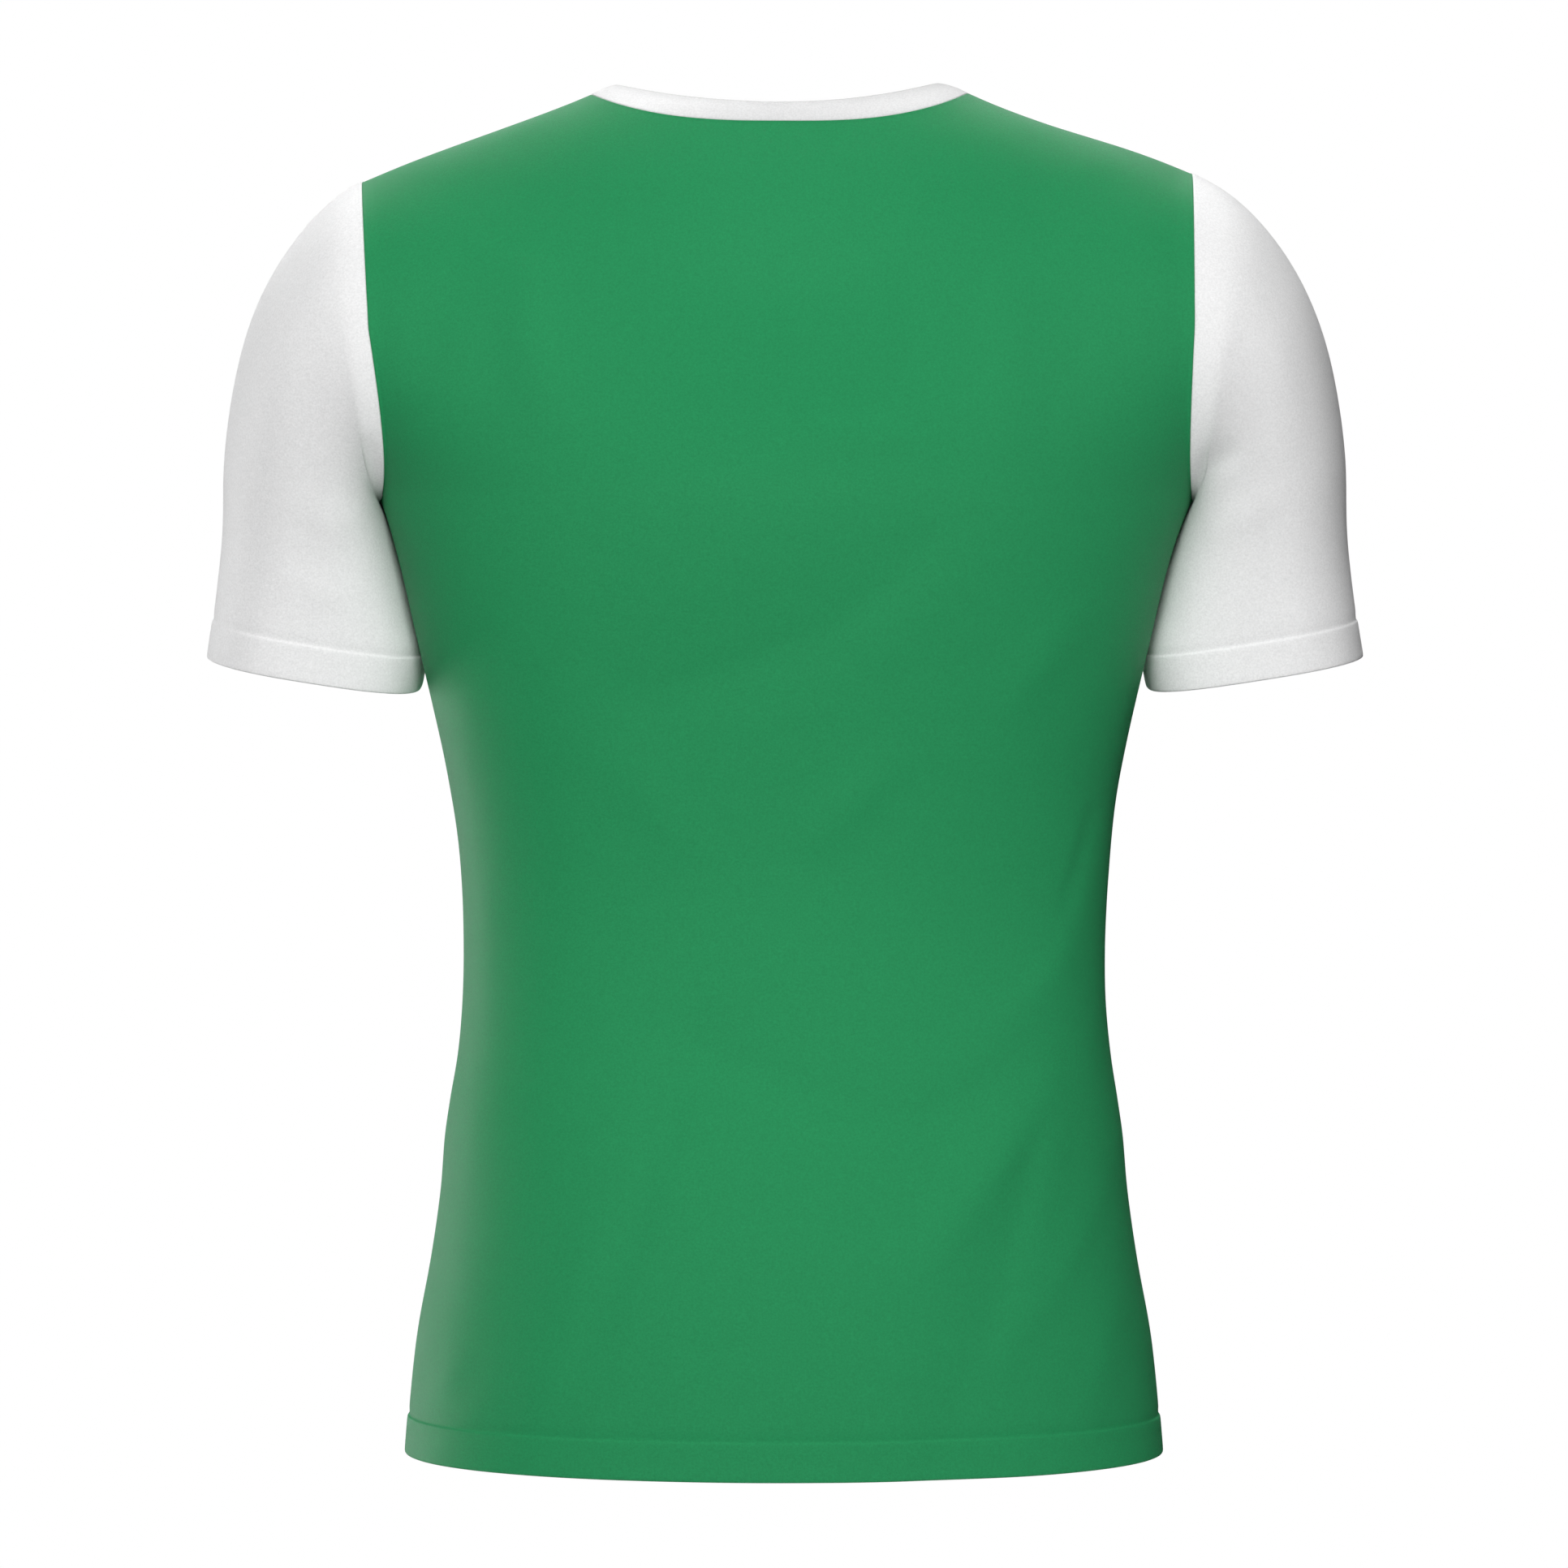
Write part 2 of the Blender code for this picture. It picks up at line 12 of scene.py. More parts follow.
import bmesh
import bpy
import mathutils
import numpy as np
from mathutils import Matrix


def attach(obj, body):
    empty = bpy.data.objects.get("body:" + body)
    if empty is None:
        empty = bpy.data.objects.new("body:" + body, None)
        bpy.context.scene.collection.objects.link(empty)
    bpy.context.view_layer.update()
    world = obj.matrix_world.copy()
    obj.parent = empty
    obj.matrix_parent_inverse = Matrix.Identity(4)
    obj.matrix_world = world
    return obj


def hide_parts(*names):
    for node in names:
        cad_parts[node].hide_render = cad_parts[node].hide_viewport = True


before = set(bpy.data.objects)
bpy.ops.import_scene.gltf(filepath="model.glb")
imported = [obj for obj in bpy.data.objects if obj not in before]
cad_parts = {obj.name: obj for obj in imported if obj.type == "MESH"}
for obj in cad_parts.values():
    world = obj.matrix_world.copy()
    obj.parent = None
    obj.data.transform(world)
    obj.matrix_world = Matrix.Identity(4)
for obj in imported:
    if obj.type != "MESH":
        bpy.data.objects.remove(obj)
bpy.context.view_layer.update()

MM = 0.001  # metres

# Trunk
HEM_Z = -703.0
HEM_DEPTH = 20.0
HEM_SIDE_RISE = 2.5  # the hem is this much higher at the sides, and rows are level from HEM_SIDE_REACH up
HEM_SIDE_REACH = 150.0
UNDERARM_Z = -210.4
SIDES_DIFFER = 30.0  # the two sides are alike from this far below the underarm

# Shoulders: the seam's two ends on each side, as (distance from the middle, height)
SHOULDER_TIP = {"left": (218.4, -44.9), "right": (211.3, -40.4)}
SHOULDER_NECK = {"left": (100.0, -0.3), "right": (95.3, 0.1)}
SHOULDER_BOW = {"left": 0.6, "right": 0.0}  # how far the seam's middle bows up
SHOULDER_WAVE = {"left": 0.3, "right": 1.0}  # how far it then lies above near the tip, below near the neck

# Armholes: an oval from the underarm over the back to the shoulder tip, and down over the front
UNDERARM_X = {"left": 207.9, "right": 210.3}
UNDERARM_Y = 12.0
ARMHOLE_DEPTH = {"back": 69.0, "front": 68.0}
ARMHOLE_HOLLOW = 4.4  # how far it lies inside the line from underarm to tip at half its height
ARMHOLE_LOW_HOLLOW = {"left": 3.7, "right": 1.9}  # and how much farther below that

# Neck: the height of its seam at the middle of the back and of the front, and the band's free edge there
# and at the sides
NECK_SEAM_Z = {"back": -20.8, "front": -88.0}
NECK_EDGE_MIDDLE = {"back": (2.6, 52.5, -9.6), "front": (2.6, -79.0, -76.0)}
NECK_EDGE_SIDE = {"left": (86.5, 5.6), "right": (79.4, 6.2)}
NECK_CROWN = 0.8  # how far the band bulges between seam and edge

# The trunk above the underarms, if it closed over the neck: its middle's height, how deep each face is at
# the underarm and how round it is from there up, and at the very top
CROWN_Z = 17.0
UPPER_DEPTH = {"back": 116.0, "front": 116.0}
UPPER_ROUND = {"back": 1.78, "front": 1.63}
CROWN_ROUND = 2.3
CROWN_LATE = 6  # the power of the rise by which the one roundness becomes the other

# Where the ring through the shoulder tips crosses the middle of the back and of the front
TIP_RING_Z = {"back": -105.0, "front": -150.0}

UNDERARM_SQUARE = 2.4  # squareness of the trunk's ring at the underarm and at the shoulder line
SHOULDER_SQUARE = 2.1
BROAD_X = 199.0  # half the trunk's width at the underarm, but for the flare at its sides
FLARE = 7  # the power of the distance across by which that flare grows
NECK_ROUND = {"back": 2.35, "front": 2.6}  # squareness of the neck seam
NECK_EDGE_ROUND = {"back": 2.05, "front": 2.2}  # and of the band's free edge
NECK_EDGE_LIFT = 1.7  # the power by which the band's free edge falls from its side to its middle
EVEN = 0.7  # how evenly the points of the ring through the shoulder tips are spread across

SIDES = {"left": 1, "right": -1}  # the sign of x
FACES = {"back": 1, "front": -1}  # the sign of y
SIDE_COLUMNS = {"left": 0, "right": -1}  # the column of a panel's grid at each side

# The trunk from behind: half its width with and without its sides' flare, its side seam's depth and how
# square its ring is
Girth = collections.namedtuple("Girth", "z half broad side_y square")
GIRTHS = [
    (-703, 195.3, 195.3, 2, 2.1),
    (-681, 193.7, 193.7, 2, 2.1),
    (-643, 189.7, 189.7, 3, 2.1),
    (-601, 182.2, 182.2, 4, 2.1),
    (-559, 176.7, 176.7, 4, 2.1),
    (-538, 175.1, 175.1, 4, 2.1),
    (-517, 172.1, 172.1, 4, 2.1),
    (-496, 168.6, 168.6, 4, 2.1),
    (-471, 166.2, 166.2, 4, 2.1),
    (-429, 165.4, 165.4, 5, 2.1),
    (-391, 167.5, 167.5, 6, 2.2),
    (-349, 173.8, 173.8, 8, 2.3),
    (-317, 180.5, 180.4, 9, 2.37),
    (-286, 187.8, 187, 11, 2.4),
    (-262, 193.2, 191.4, 11.5, 2.4),
    (-240, 198.3, 195.3, 12, 2.4),
    (-225, 202.2, 197.5, 12, 2.4),
    (-210.4, 207.9, 199, 12, 2.4),
]
GIRTHS = [Girth(*row) for row in GIRTHS]

# The trunk from the side: how far behind and before the shoulder line the middles of back and front lie
Profile = collections.namedtuple("Profile", "z back front")
PROFILES = [
    (-703, 107, 98),
    (-643, 111, 100),
    (-601, 110, 101),
    (-559, 104, 102),
    (-517, 96, 102),
    (-471, 88, 100),
    (-412, 85, 100),
    (-349, 92, 105),
    (-286, 104, 112),
    (-245, 112, 115),
    (-210.4, 116, 116),
]
PROFILES = [Profile(*row) for row in PROFILES]

# A sleeve's rings, from the shoulder to the cuff: the outermost point, how far the ring stays clear of the
# trunk and where, half its depth from back to front, how much lower its back hangs and its squareness
Ring = collections.namedtuple("Ring", "outer_x outer_y outer_z clear inner_y inner_z deep tilt square")
SLEEVE_RINGS = [
    (228.6, 0, -51, 0.9, 9.5, -212, 68.3, 0.00, 2),
    (239.4, -1, -60.2, 0.9, 6.5, -213.8, 67.8, 0.00, 2.05),
    (253.9, -2, -76.6, 0.8, 2, -216.8, 67, 0.01, 2.05),
    (268.4, -3, -100.6, 0.8, -3, -221, 65.8, 0.02, 2.1),
    (279.5, -5, -129, 0.8, -7, -226.8, 64, 0.03, 2.1),
    (286.4, -8, -158.5, 0.9, -10, -234.6, 61.8, 0.04, 2.1),
    (290.4, -12, -189, 0.9, -13, -244.6, 59.6, 0.06, 2.1),
    (291.4, -16, -219, 1, -16, -257, 57.4, 0.08, 2.1),
    (294.1, -19, -247, 1.2, -18, -272, 55.4, 0.10, 2.1),
    (297.1, -20, -269.6, 2.4, -20, -287.6, 54, 0.105, 2.1),
    (300.2, -21, -288.6, 9.6, -21, -306.2, 53.2, 0.105, 2.1),
]
SLEEVE_RINGS = [Ring(*row) for row in SLEEVE_RINGS]
SLEEVE_OUT = {"left": 0.0, "right": 0.8}  # how much farther out the whole outer line lies
SLEEVE_TILT = {"left": 1.25, "right": 1.0}  # how strongly each sleeve tilts
CUFF_DEPTH = 19.0

# The largest folds, as soft troughs (below 0) and ridges between two points of a panel: their ends as
# (x, z), and the reach and height of each. All of them die away at the panel's edges.
Fold = collections.namedtuple("Fold", "x0 z0 x1 z1 reach height")
FOLDS = {
    "back": [
        (40, -488, -70, -527, 26, -2.0),
        (-142, -508, -84, -700, 24, -1.8),
        (-150, -500, -76, -590, 22, 1.5),
        (68, -560, 114, -655, 28, 1.8),
        (-158, -400, -132, -480, 26, 1.6),
        (-62, -245, 66, -308, 26, -1.4),
    ],
    "front": [
        (-36, -470, 72, -512, 26, -1.8),
        (140, -500, 92, -680, 24, -1.6),
        (-70, -545, -118, -640, 28, 1.6),
        (70, -250, -40, -300, 26, -1.2),
    ],
}
FOLD_EDGE = 8  # the power of the distance across a panel by which its folds die away

# Steps of the form's grid
ACROSS = 33  # from the middle of a panel to its edge
TRUNK_STEPS = 51
CROWDING = 1.4  # the power by which the trunk's rows lie closer together towards the underarm
ARMHOLE_STEPS = 30
SHOULDER_STEPS = 18
QUARTER_TURN = np.linspace(0, math.pi / 2, ACROSS + 1)  # a panel's points from its middle to its edge
WHOLE_TURN = np.arange(2 * ARMHOLE_STEPS) * math.pi / ARMHOLE_STEPS  # a sleeve's points round it
SMOOTHING = 648  # how often the rows between underarm and neck are evened out
SMOOTHING_ROWS = 24  # rows below the underarm that take part
SMOOTHING_STEP = 0.5  # how far each point moves to the middle of its neighbours, and then back

# Rows and columns of the shells. Each stop is a place and the step there, and steps change evenly between
# stops. The trunk's are heights above the hem, the sleeve's and the band's are distances from their seam,
# and the others count the rows or columns of the form's grid.
TRUNK_STOPS = [(0, 0.25), (4, 1.2), (17, 1.2), (18.6, 0.35), (21.6, 0.35), (27, 3.2)]
TRUNK_STOPS += [(470, 3.2), (492.6, 2.6)]
ARMHOLE_STOPS = [(0, 0.5), (30, 0.5)]
SHOULDER_STOPS = [(0, 0.6), (15.5, 0.6), (17.4, 0.2), (18, 0.06)]
COLUMN_STOPS = [(0, 0.06), (0.9, 0.28), (3, 0.56), (33, 0.56)]
SLEEVE_STOPS = [(0, 0.25), (2.5, 0.7), (9, 2.3), (-25, 2.3), (-21.0, 0.35)]
SLEEVE_STOPS += [(-17.6, 0.35), (-13, 1.2), (-4, 1.2), (0, 0.25)]
SLEEVE_AROUND = 180  # points of each of a sleeve's rings
# How much squarer than their solids the sleeves are beside the trunk and away from it, and from which ring on
FULLER = {"in": 0.8, "out": 0.25}
FULLER_AT = 9
# How much deeper the sleeves' first rings are, so that the cloth runs on level from the armhole
FILLED = [1.5, 2.8, 3.2, 2.6, 1.6, 0.7]
BAND_STOPS = [(0, 0.2), (1.2, 0.45), (-1.2, 0.45), (0, 0.15)]

# Cloth
CLOTH = 1.2  # thickness of one layer of knit
BAND_CLOTH = 2.2  # the neckband is a folded strip
HEM_STEP = 0.6  # how far the turned-up hem stands proud of the cloth above it
CUFF_STEP = 0.4
TURN_RISE = 1.4  # the height over which a turned-up edge does so
TURN_DIP = 0.35  # how deep the line of stitches pulls the cloth in just above that
TURN_DIP_WIDE = 2.2
NO_TURN = -TURN_RISE * 9  # a depth so far past an edge that nothing of it is turned up
EDGE_CURL = 0.25  # how far an edge curls inwards
EDGE_CURL_HIGH = 3.0
ALLOWANCE = 6.0  # width of the seams' allowances inside
ALLOWANCE_EDGE = 0.8  # and of the slope at their edges
ALLOWANCE_THICK = 0.8
INNER_SINK = 0.3  # how far the inner face follows a seam's groove, as a share of the cloth's thickness

# Seams: how deep and how wide the cloth rolls in at each, on either side, and the dip beside that roll
Seam = collections.namedtuple("Seam", "roll reach dip dip_at dip_wide")
SIDE_SEAM = Seam(0.75, 0.8, 0.12, 1.6, 1.2)
SHOULDER_SEAM = Seam(0.7, 0.8, 0.15, 1.6, 1.2)
ARMHOLE_SEAM = Seam(0.9, 0.9, 0.32, 1.5, 1.3)
SLEEVE_SEAM = Seam(0.75, 0.7, 0.0, 2.0, 1.5)
NECK_SEAM = Seam(0.6, 0.7, 0.08, 1.6, 1.2)
BAND_SEAM = Seam(0.45, 0.7, 0.0, 1.6, 1.2)
SAME_SEAM = 1.5  # edges of two pieces about this close are one seam
CALM_REACH = 3.0  # how near a seam the sleeves' creases die away
JOIN_REACH = 2.5  # how far from a seam the two sides lean to their shared direction
SEAM_SHADE_REACH = 1.6  # how near a seam the cloth is painted darker, a painted shade of the seam's groove
# Painted shade, greyer towards the neckband's lit folded edge, as (share, distance from the edge where it
# fades)
BAND_PAINTED_SHADES = [(0.10, 60.0), (0.16, 7.0), (0.30, 1.3)]
CLOTH_PLACES = "cloth_places"  # names of the mesh data that the materials read
CLOTH_SHADE = "cloth_shade"

# Creases of the body and the sleeves, as soft troughs (height below 0) and ridges: two ends and the bend
# between them as (x, z), the reach, how much farther that is on one side than on the line and shorter on the
# other, as a factor, and the height
Crease = collections.namedtuple("Crease", "x0 z0 xm zm x1 z1 reach lean height")
CREASES = {
    "back": [
        # The fan that spreads from the waist at the right
        (-142, -492, -108, -548, -64, -604, 10, 1.3, 1.1),
        (-138, -500, -122, -600, -66, -740, 10, 0.8, 0.9),
        (-128, -520, -118, -562, -108, -600, 8, 1.0, -0.35),
        (-168, -548, -140, -603, -106, -650, 9, 1.3, 0.7),
        (-172, -600, -160, -650, -150, -690, 12, 1.0, 0.8),
        (-90, -478, -134, -452, -153, -392, 10, 1.3, 0.9),
        (-158, -362, -150, -392, -139, -428, 6, 0.8, -0.9),
        # The long bent one across the small of the back
        (60, -480, 0, -504, -58, -526, 11, 1.4, -1.2),
        (-28, -512, -78, -518, -140, -474, 13, 1.5, -0.9),
        # Down to the hem at the left
        (50, -496, 70, -566, 118, -694, 11, 1.2, -2.3),
        (156, -640, 170, -656, 183, -664, 7, 1.0, 0.5),
        (138, -655, 156, -672, 176, -680, 7, 1.0, 0.4),
        # Between the shoulder blades and below them
        (8, -184, -34, -181, -80, -186, 10, 1.3, 1.4),
        (-78, -232, -10, -285, 96, -318, 14, 0.67, -1.0),
        (-36, -296, -60, -270, -104, -232, 15, 1.0, 0.8),
        (-8, -392, -32, -368, -62, -338, 12, 0.9, 1.4),
        (44, -402, 62, -370, 92, -340, 13, 1.0, 1.0),
        (-106, -330, -128, -296, -152, -266, 13, 1.0, 1.2),
        (124, -88, 126, -130, 112, -186, 14, 1.2, 3.0),
        (186, -156, 174, -122, 152, -92, 12, 0.9, -1.5),
        (144, -112, 142, -138, 136, -168, 11, 1.0, -0.5),
        (-108, -92, -112, -140, -104, -196, 14, 0.9, 1.6),
        (-142, -100, -146, -130, -144, -160, 10, 1.0, -0.5),
        (-60, -84, -62, -130, -60, -168, 10, 1.0, -1.2),
    ],
    "front": [
        (142, -494, 106, -550, 62, -606, 10, 1.3, 1.4),
        (136, -510, 118, -596, 80, -700, 11, 0.8, 1.3),
        (126, -522, 114, -566, 106, -606, 8, 1.0, -0.8),
        (168, -560, 142, -616, 108, -668, 10, 1.2, 1.0),
        (88, -480, 130, -452, 150, -396, 11, 1.3, 1.1),
        (-52, -488, -4, -506, 40, -518, 13, 1.2, -0.9),
        (26, -515, 76, -524, 128, -488, 13, 1.3, -0.8),
        (-64, -520, -84, -590, -120, -690, 12, 1.4, 1.1),
        (-150, -500, -128, -560, -122, -640, 12, 1.0, 0.8),
        (-168, -230, -118, -262, -62, -268, 12, 0.9, -1.1),
        (-160, -250, -112, -290, -58, -306, 13, 1.1, 0.8),
        (164, -226, 116, -256, 60, -264, 12, 0.9, -1.0),
        (40, -300, -8, -330, -70, -336, 16, 1.2, 0.7),
        (60, -420, 10, -404, -46, -420, 12, 1.0, 0.6),
        (-128, -110, -112, -140, -86, -166, 12, 1.0, 0.6),
        (124, -100, 110, -132, 88, -160, 12, 1.0, 0.6),
        (-30, -132, 4, -142, 36, -134, 12, 1.0, -0.5),
    ],
    "sleeve_left_back": [
        (205, -209, 208, -196, 212, -180, 6, 1.2, -1.6),
        (214, -228, 232, -222, 254, -206, 9, 1.0, 0.7),
        (232, -96, 252, -140, 262, -196, 13, 1.1, 0.6),
        (218, -262, 236, -258, 262, -246, 9, 0.9, 0.5),
    ],
    "sleeve_left_front": [
        (208, -210, 222, -190, 234, -168, 6, 1.2, -2.0),
        (212, -232, 232, -224, 256, -210, 9, 1.0, 0.8),
        (228, -110, 246, -150, 256, -200, 12, 1.0, 0.7),
    ],
    "sleeve_right_back": [
        (-204, -210, -216, -196, -232, -186, 7, 0.8, -1.8),
        (-213, -230, -232, -222, -250, -204, 9, 1.0, 0.8),
        (-236, -104, -250, -150, -256, -200, 13, 1.0, 0.6),
        (-256, -262, -266, -272, -274, -283, 6, 0.9, 0.5),
    ],
    "sleeve_right_front": [
        (-208, -212, -224, -194, -238, -176, 6, 0.9, -2.0),
        (-214, -234, -234, -226, -254, -208, 9, 1.0, 0.7),
        (-226, -112, -244, -156, -252, -204, 12, 1.0, 0.7),
    ],
}
CREASE_POINTS = 41
CREASE_TAPER = 0.8  # the power of the sine by which a crease dies away towards its ends
UNEVEN = [(70.0, 0.35), (24.0, 0.08)]  # the cloth's slight unevenness, as (length, height) of its waves

# Camera and stage, in metres: the eye is level with the middle of the shirt, behind it
EYE = (0.0, 2.6, -0.356)
LENS = 115.4
SENSOR = 36.0
FLOOR_Z = -1.42
FLOOR_RADIUS = 1.1
FLOOR_SEGMENTS = 96
FLOOR_COLOUR = (0.85, 0.85, 0.85, 1)
WHITE = (1, 1, 1, 1)

# Far soft lights, each from one direction: its azimuth (0 is from the front, 90 from the wearer's left, 180
# from behind, where the camera is), its elevation, how wide it is, all in degrees, and its strength
LIGHTS = [
    ("far_key", 178, 27, 35, 0.58),
    ("left_rim", 52, -5, 30, 0.64),
    ("top_rim", 0, 54, 30, 0.80),
]
# A soft box in front of the camera and above it, that shines on the shirt's middle, and its strength there
SOFT_BOX = (0.0, 1.8, 0.6)
SOFT_BOX_SIDE = 0.5
SOFT_BOX_STRENGTH = 0.48
SKY_LEVEL = 0.03  # the even light from all round

# Finishes. grain is the contrast of the finest unevenness in colour; the seam field is how much darker the
# cloth is painted at its seams, a painted shade of their grooves.
Finish = collections.namedtuple("Finish", "colour grain seam_tint rough sheen sheen_rough specular")
FINISHES = {
    "green_knit": Finish((0.0137, 0.2680, 0.0915, 1.0), 0.42, 0.10, 0.60, 0.02, 0.45, 0.22),
    "white_knit": Finish((0.890, 0.890, 0.892, 1.0), 0.32, 0.03, 0.60, 0.02, 0.45, 0.22),
}
GRAIN = 1.0  # size of the cloth's finest unevenness in colour and relief
GRAIN_DETAIL = 2.0
GRAIN_BUMP = 0.35
GRAIN_DEPTH = 0.25
CLOUD = 14.0  # size of its faint patches
CLOUD_DETAIL = 3.0
CLOUD_CONTRAST = 0.03
WALE = 0.55  # width of a column of loops and height of a row of them
COURSE = 0.42
LOOP_SLANT = 1.6  # how many rows a loop's legs slant over half its width, times 2
LOOP_DEPTH = 0.05

# Each piece: its finish, its cloth's thickness, the depth and step of its turned-up edge, the width, length
# and area of its flat cloth in metres, and the pieces that hold it
BODY = ("back", "front")
Piece = collections.namedtuple("Piece", "slot thick turn_depth turn_step flat area rests_on")
PIECES = {
    "back": Piece("green_knit", CLOTH, HEM_DEPTH, HEM_STEP, (0.550, 0.735), 0.325, ()),
    "front": Piece("green_knit", CLOTH, HEM_DEPTH, HEM_STEP, (0.550, 0.725), 0.325, ()),
    "sleeve_left": Piece("white_knit", CLOTH, CUFF_DEPTH, CUFF_STEP, (0.450, 0.290), 0.071, BODY),
    "sleeve_right": Piece("white_knit", CLOTH, CUFF_DEPTH, CUFF_STEP, (0.450, 0.290), 0.071, BODY),
    "neckband": Piece("white_knit", BAND_CLOTH, NO_TURN, 0.0, (0.560, 0.024), 0.013, BODY),
}


def mix(start, end, share):
    """What lies at a share of the way from start to end."""
    return start + (end - start) * share


def arc(share, power):
    """The height of a superellipse, from 1 at its middle to 0 at its end, at a share of the way out."""
    return (1 - share**power) ** (1 / power)


def bell(away, reach):
    """1 at no distance away, and softly down to nothing a few reaches away."""
    return np.exp(-((away / reach) ** 2))


def through(table, column, z):
    """A smooth curve through one column of a table, read at height z."""
    known = np.array([row.z for row in table], float)
    values = np.array([getattr(row, column) for row in table], float)
    slopes = np.gradient(values, known)
    i = int(np.clip(np.searchsorted(known, z) - 1, 0, len(known) - 2))
    span = known[i + 1] - known[i]
    t = (z - known[i]) / span
    return (
        values[i] * (1 + 2 * t) * (1 - t) ** 2
        + values[i + 1] * (3 - 2 * t) * t**2
        + span * t * (1 - t) * (slopes[i] * (1 - t) - slopes[i + 1] * t)
    )


def rounded(turn, square):
    """(sine, cosine) of a turn, moved out to a superellipse."""
    sine, cosine = np.sin(turn), np.cos(turn)
    out = (np.abs(sine) ** square + np.abs(cosine) ** square) ** (-1 / square)
    return sine * out, cosine * out


def rise_of(turn):
    """How far up from the underarm a turn of the armhole is: 0 at the underarm, 1 at half a turn."""
    return (1 - math.cos(turn)) / 2


def armhole(side, face, turn):
    """A point of the armhole: at 0 the underarm, at half a turn the shoulder tip."""
    rise = rise_of(turn)
    tip_x, tip_z = SHOULDER_TIP[side]
    x = mix(UNDERARM_X[side], tip_x, rise)
    x -= ARMHOLE_HOLLOW * math.sin(turn) + ARMHOLE_LOW_HOLLOW[side] * max(0, math.sin(2 * turn))
    y = UNDERARM_Y * (1 - rise) + FACES[face] * ARMHOLE_DEPTH[face] * math.sin(turn)
    return np.array([SIDES[side] * x, y, mix(UNDERARM_Z, tip_z, rise)])


def shoulder_height(side, x):
    """The height of the shoulder line, which runs on over the neck as an arch."""
    tip_x, tip_z = SHOULDER_TIP[side]
    neck_x, neck_z = SHOULDER_NECK[side]
    if x < neck_x:
        return mix(CROWN_Z, neck_z, (x / neck_x) ** 2)
    share = (tip_x - x) / (tip_x - neck_x)
    bow = SHOULDER_BOW[side] * math.sin(math.pi * share)
    wave = SHOULDER_WAVE[side] * math.sin(2 * math.pi * share)
    return mix(tip_z, neck_z, share) + bow + wave


def upper(side, face, wide, turn):
    """A point of the trunk above the underarm. wide is 0 in the middle and 1 at the armhole, and turn is the
    armhole's, so that half a turn is the shoulder line."""
    rise = rise_of(turn)
    edge = armhole(side, face, turn)
    broad = mix(BROAD_X, SHOULDER_TIP[side][0], rise)
    x = broad * wide + (abs(edge[0]) - broad) * wide**FLARE
    top_z = shoulder_height(side, x * SHOULDER_TIP[side][0] / abs(edge[0]))
    z = mix(UNDERARM_Z, top_z, rise)
    if turn == math.pi:
        return np.array([SIDES[side] * x, 0, z])
    roundness = mix(UPPER_ROUND[face], CROWN_ROUND, rise**CROWN_LATE)
    middle_y = FACES[face] * UPPER_DEPTH[face] * arc(rise, roundness)
    side_y = UNDERARM_Y * (1 - rise)
    square = mix(UNDERARM_SQUARE, SHOULDER_SQUARE, rise)
    share = (edge[1] - side_y) / (middle_y - side_y)
    last = arc(share, square)
    deep = arc(wide * last, square)
    return np.array([SIDES[side] * x, mix(side_y, middle_y, deep), z])


def turn_at(z):
    """The turn at which the middle of the trunk is at a height."""
    return math.acos(1 - 2 * (z - UNDERARM_Z) / (CROWN_Z - UNDERARM_Z))


def spread(square, even):
    """Shares of the way across a panel, as a ring's points have them, or more evenly."""
    wide, _ = rounded(QUARTER_TURN, square)
    return wide * (1 - even) + np.linspace(0, 1, ACROSS + 1) * even


def girth_at(side, z):
    """The trunk's girth at a height, on one side."""
    columns = {name: through(GIRTHS, name, z) for name in Girth._fields[1:]}
    near_underarm = max(0.0, 1 - (UNDERARM_Z - z) / SIDES_DIFFER)
    columns["half"] += (UNDERARM_X[side] - GIRTHS[-1].half) * near_underarm
    return Girth(z, **columns)


def trunk_side(side, y, z):
    """How far out the front of the trunk's side is at a depth and height."""
    girth = girth_at(side, z)
    share = max(0, girth.side_y - y) / (girth.side_y + through(PROFILES, "front", z))
    wide = arc(share, girth.square)
    return girth.broad * wide + (girth.half - girth.broad) * wide**FLARE


def trunk_half_row(side, face, z):
    """Points of the trunk at one height, from the middle of a panel to its side seam."""
    girth = girth_at(side, z)
    wide, deep = rounded(QUARTER_TURN, girth.square)
    middle_y = FACES[face] * through(PROFILES, face, z)
    x = girth.broad * wide + (girth.half - girth.broad) * wide**FLARE
    y = mix(girth.side_y, middle_y, deep)
    side_rise = HEM_SIDE_RISE * max(0, 1 - (z - HEM_Z) / HEM_SIDE_REACH)
    return np.stack([SIDES[side] * x, y, z + side_rise * (1 - deep)], axis=1)


def armhole_half_row(side, face, share):
    """Points from the middle of a panel to the armhole. share is 0 at the underarm and 1 at its tip."""
    middle_turn = turn_at(mix(UNDERARM_Z, TIP_RING_Z[face], share))
    edge_turn = math.pi * share
    square = mix(UNDERARM_SQUARE, SHOULDER_SQUARE, share)
    widths = spread(square, EVEN * share)
    turns = mix(middle_turn, edge_turn, widths**2)
    return np.array([upper(side, face, wide, turn) for wide, turn in zip(widths, turns)])


def shoulder_half_row(side, face, share):
    """Points from the middle of a panel to the shoulder seam. share is 0 at its tip and 1 at the neck."""
    middle_turn = turn_at(mix(TIP_RING_Z[face], NECK_SEAM_Z[face], share))
    tip_x = SHOULDER_TIP[side][0]
    seam_x = mix(tip_x, SHOULDER_NECK[side][0], share)
    places = spread(NECK_ROUND[face], EVEN * (1 - share))
    level = places**2
    arch = 1 - arc(places, NECK_ROUND[face])
    turns = mix(middle_turn, math.pi, mix(level, arch, share))
    widths = places * seam_x / tip_x
    return np.array([upper(side, face, wide, turn) for wide, turn in zip(widths, turns)])


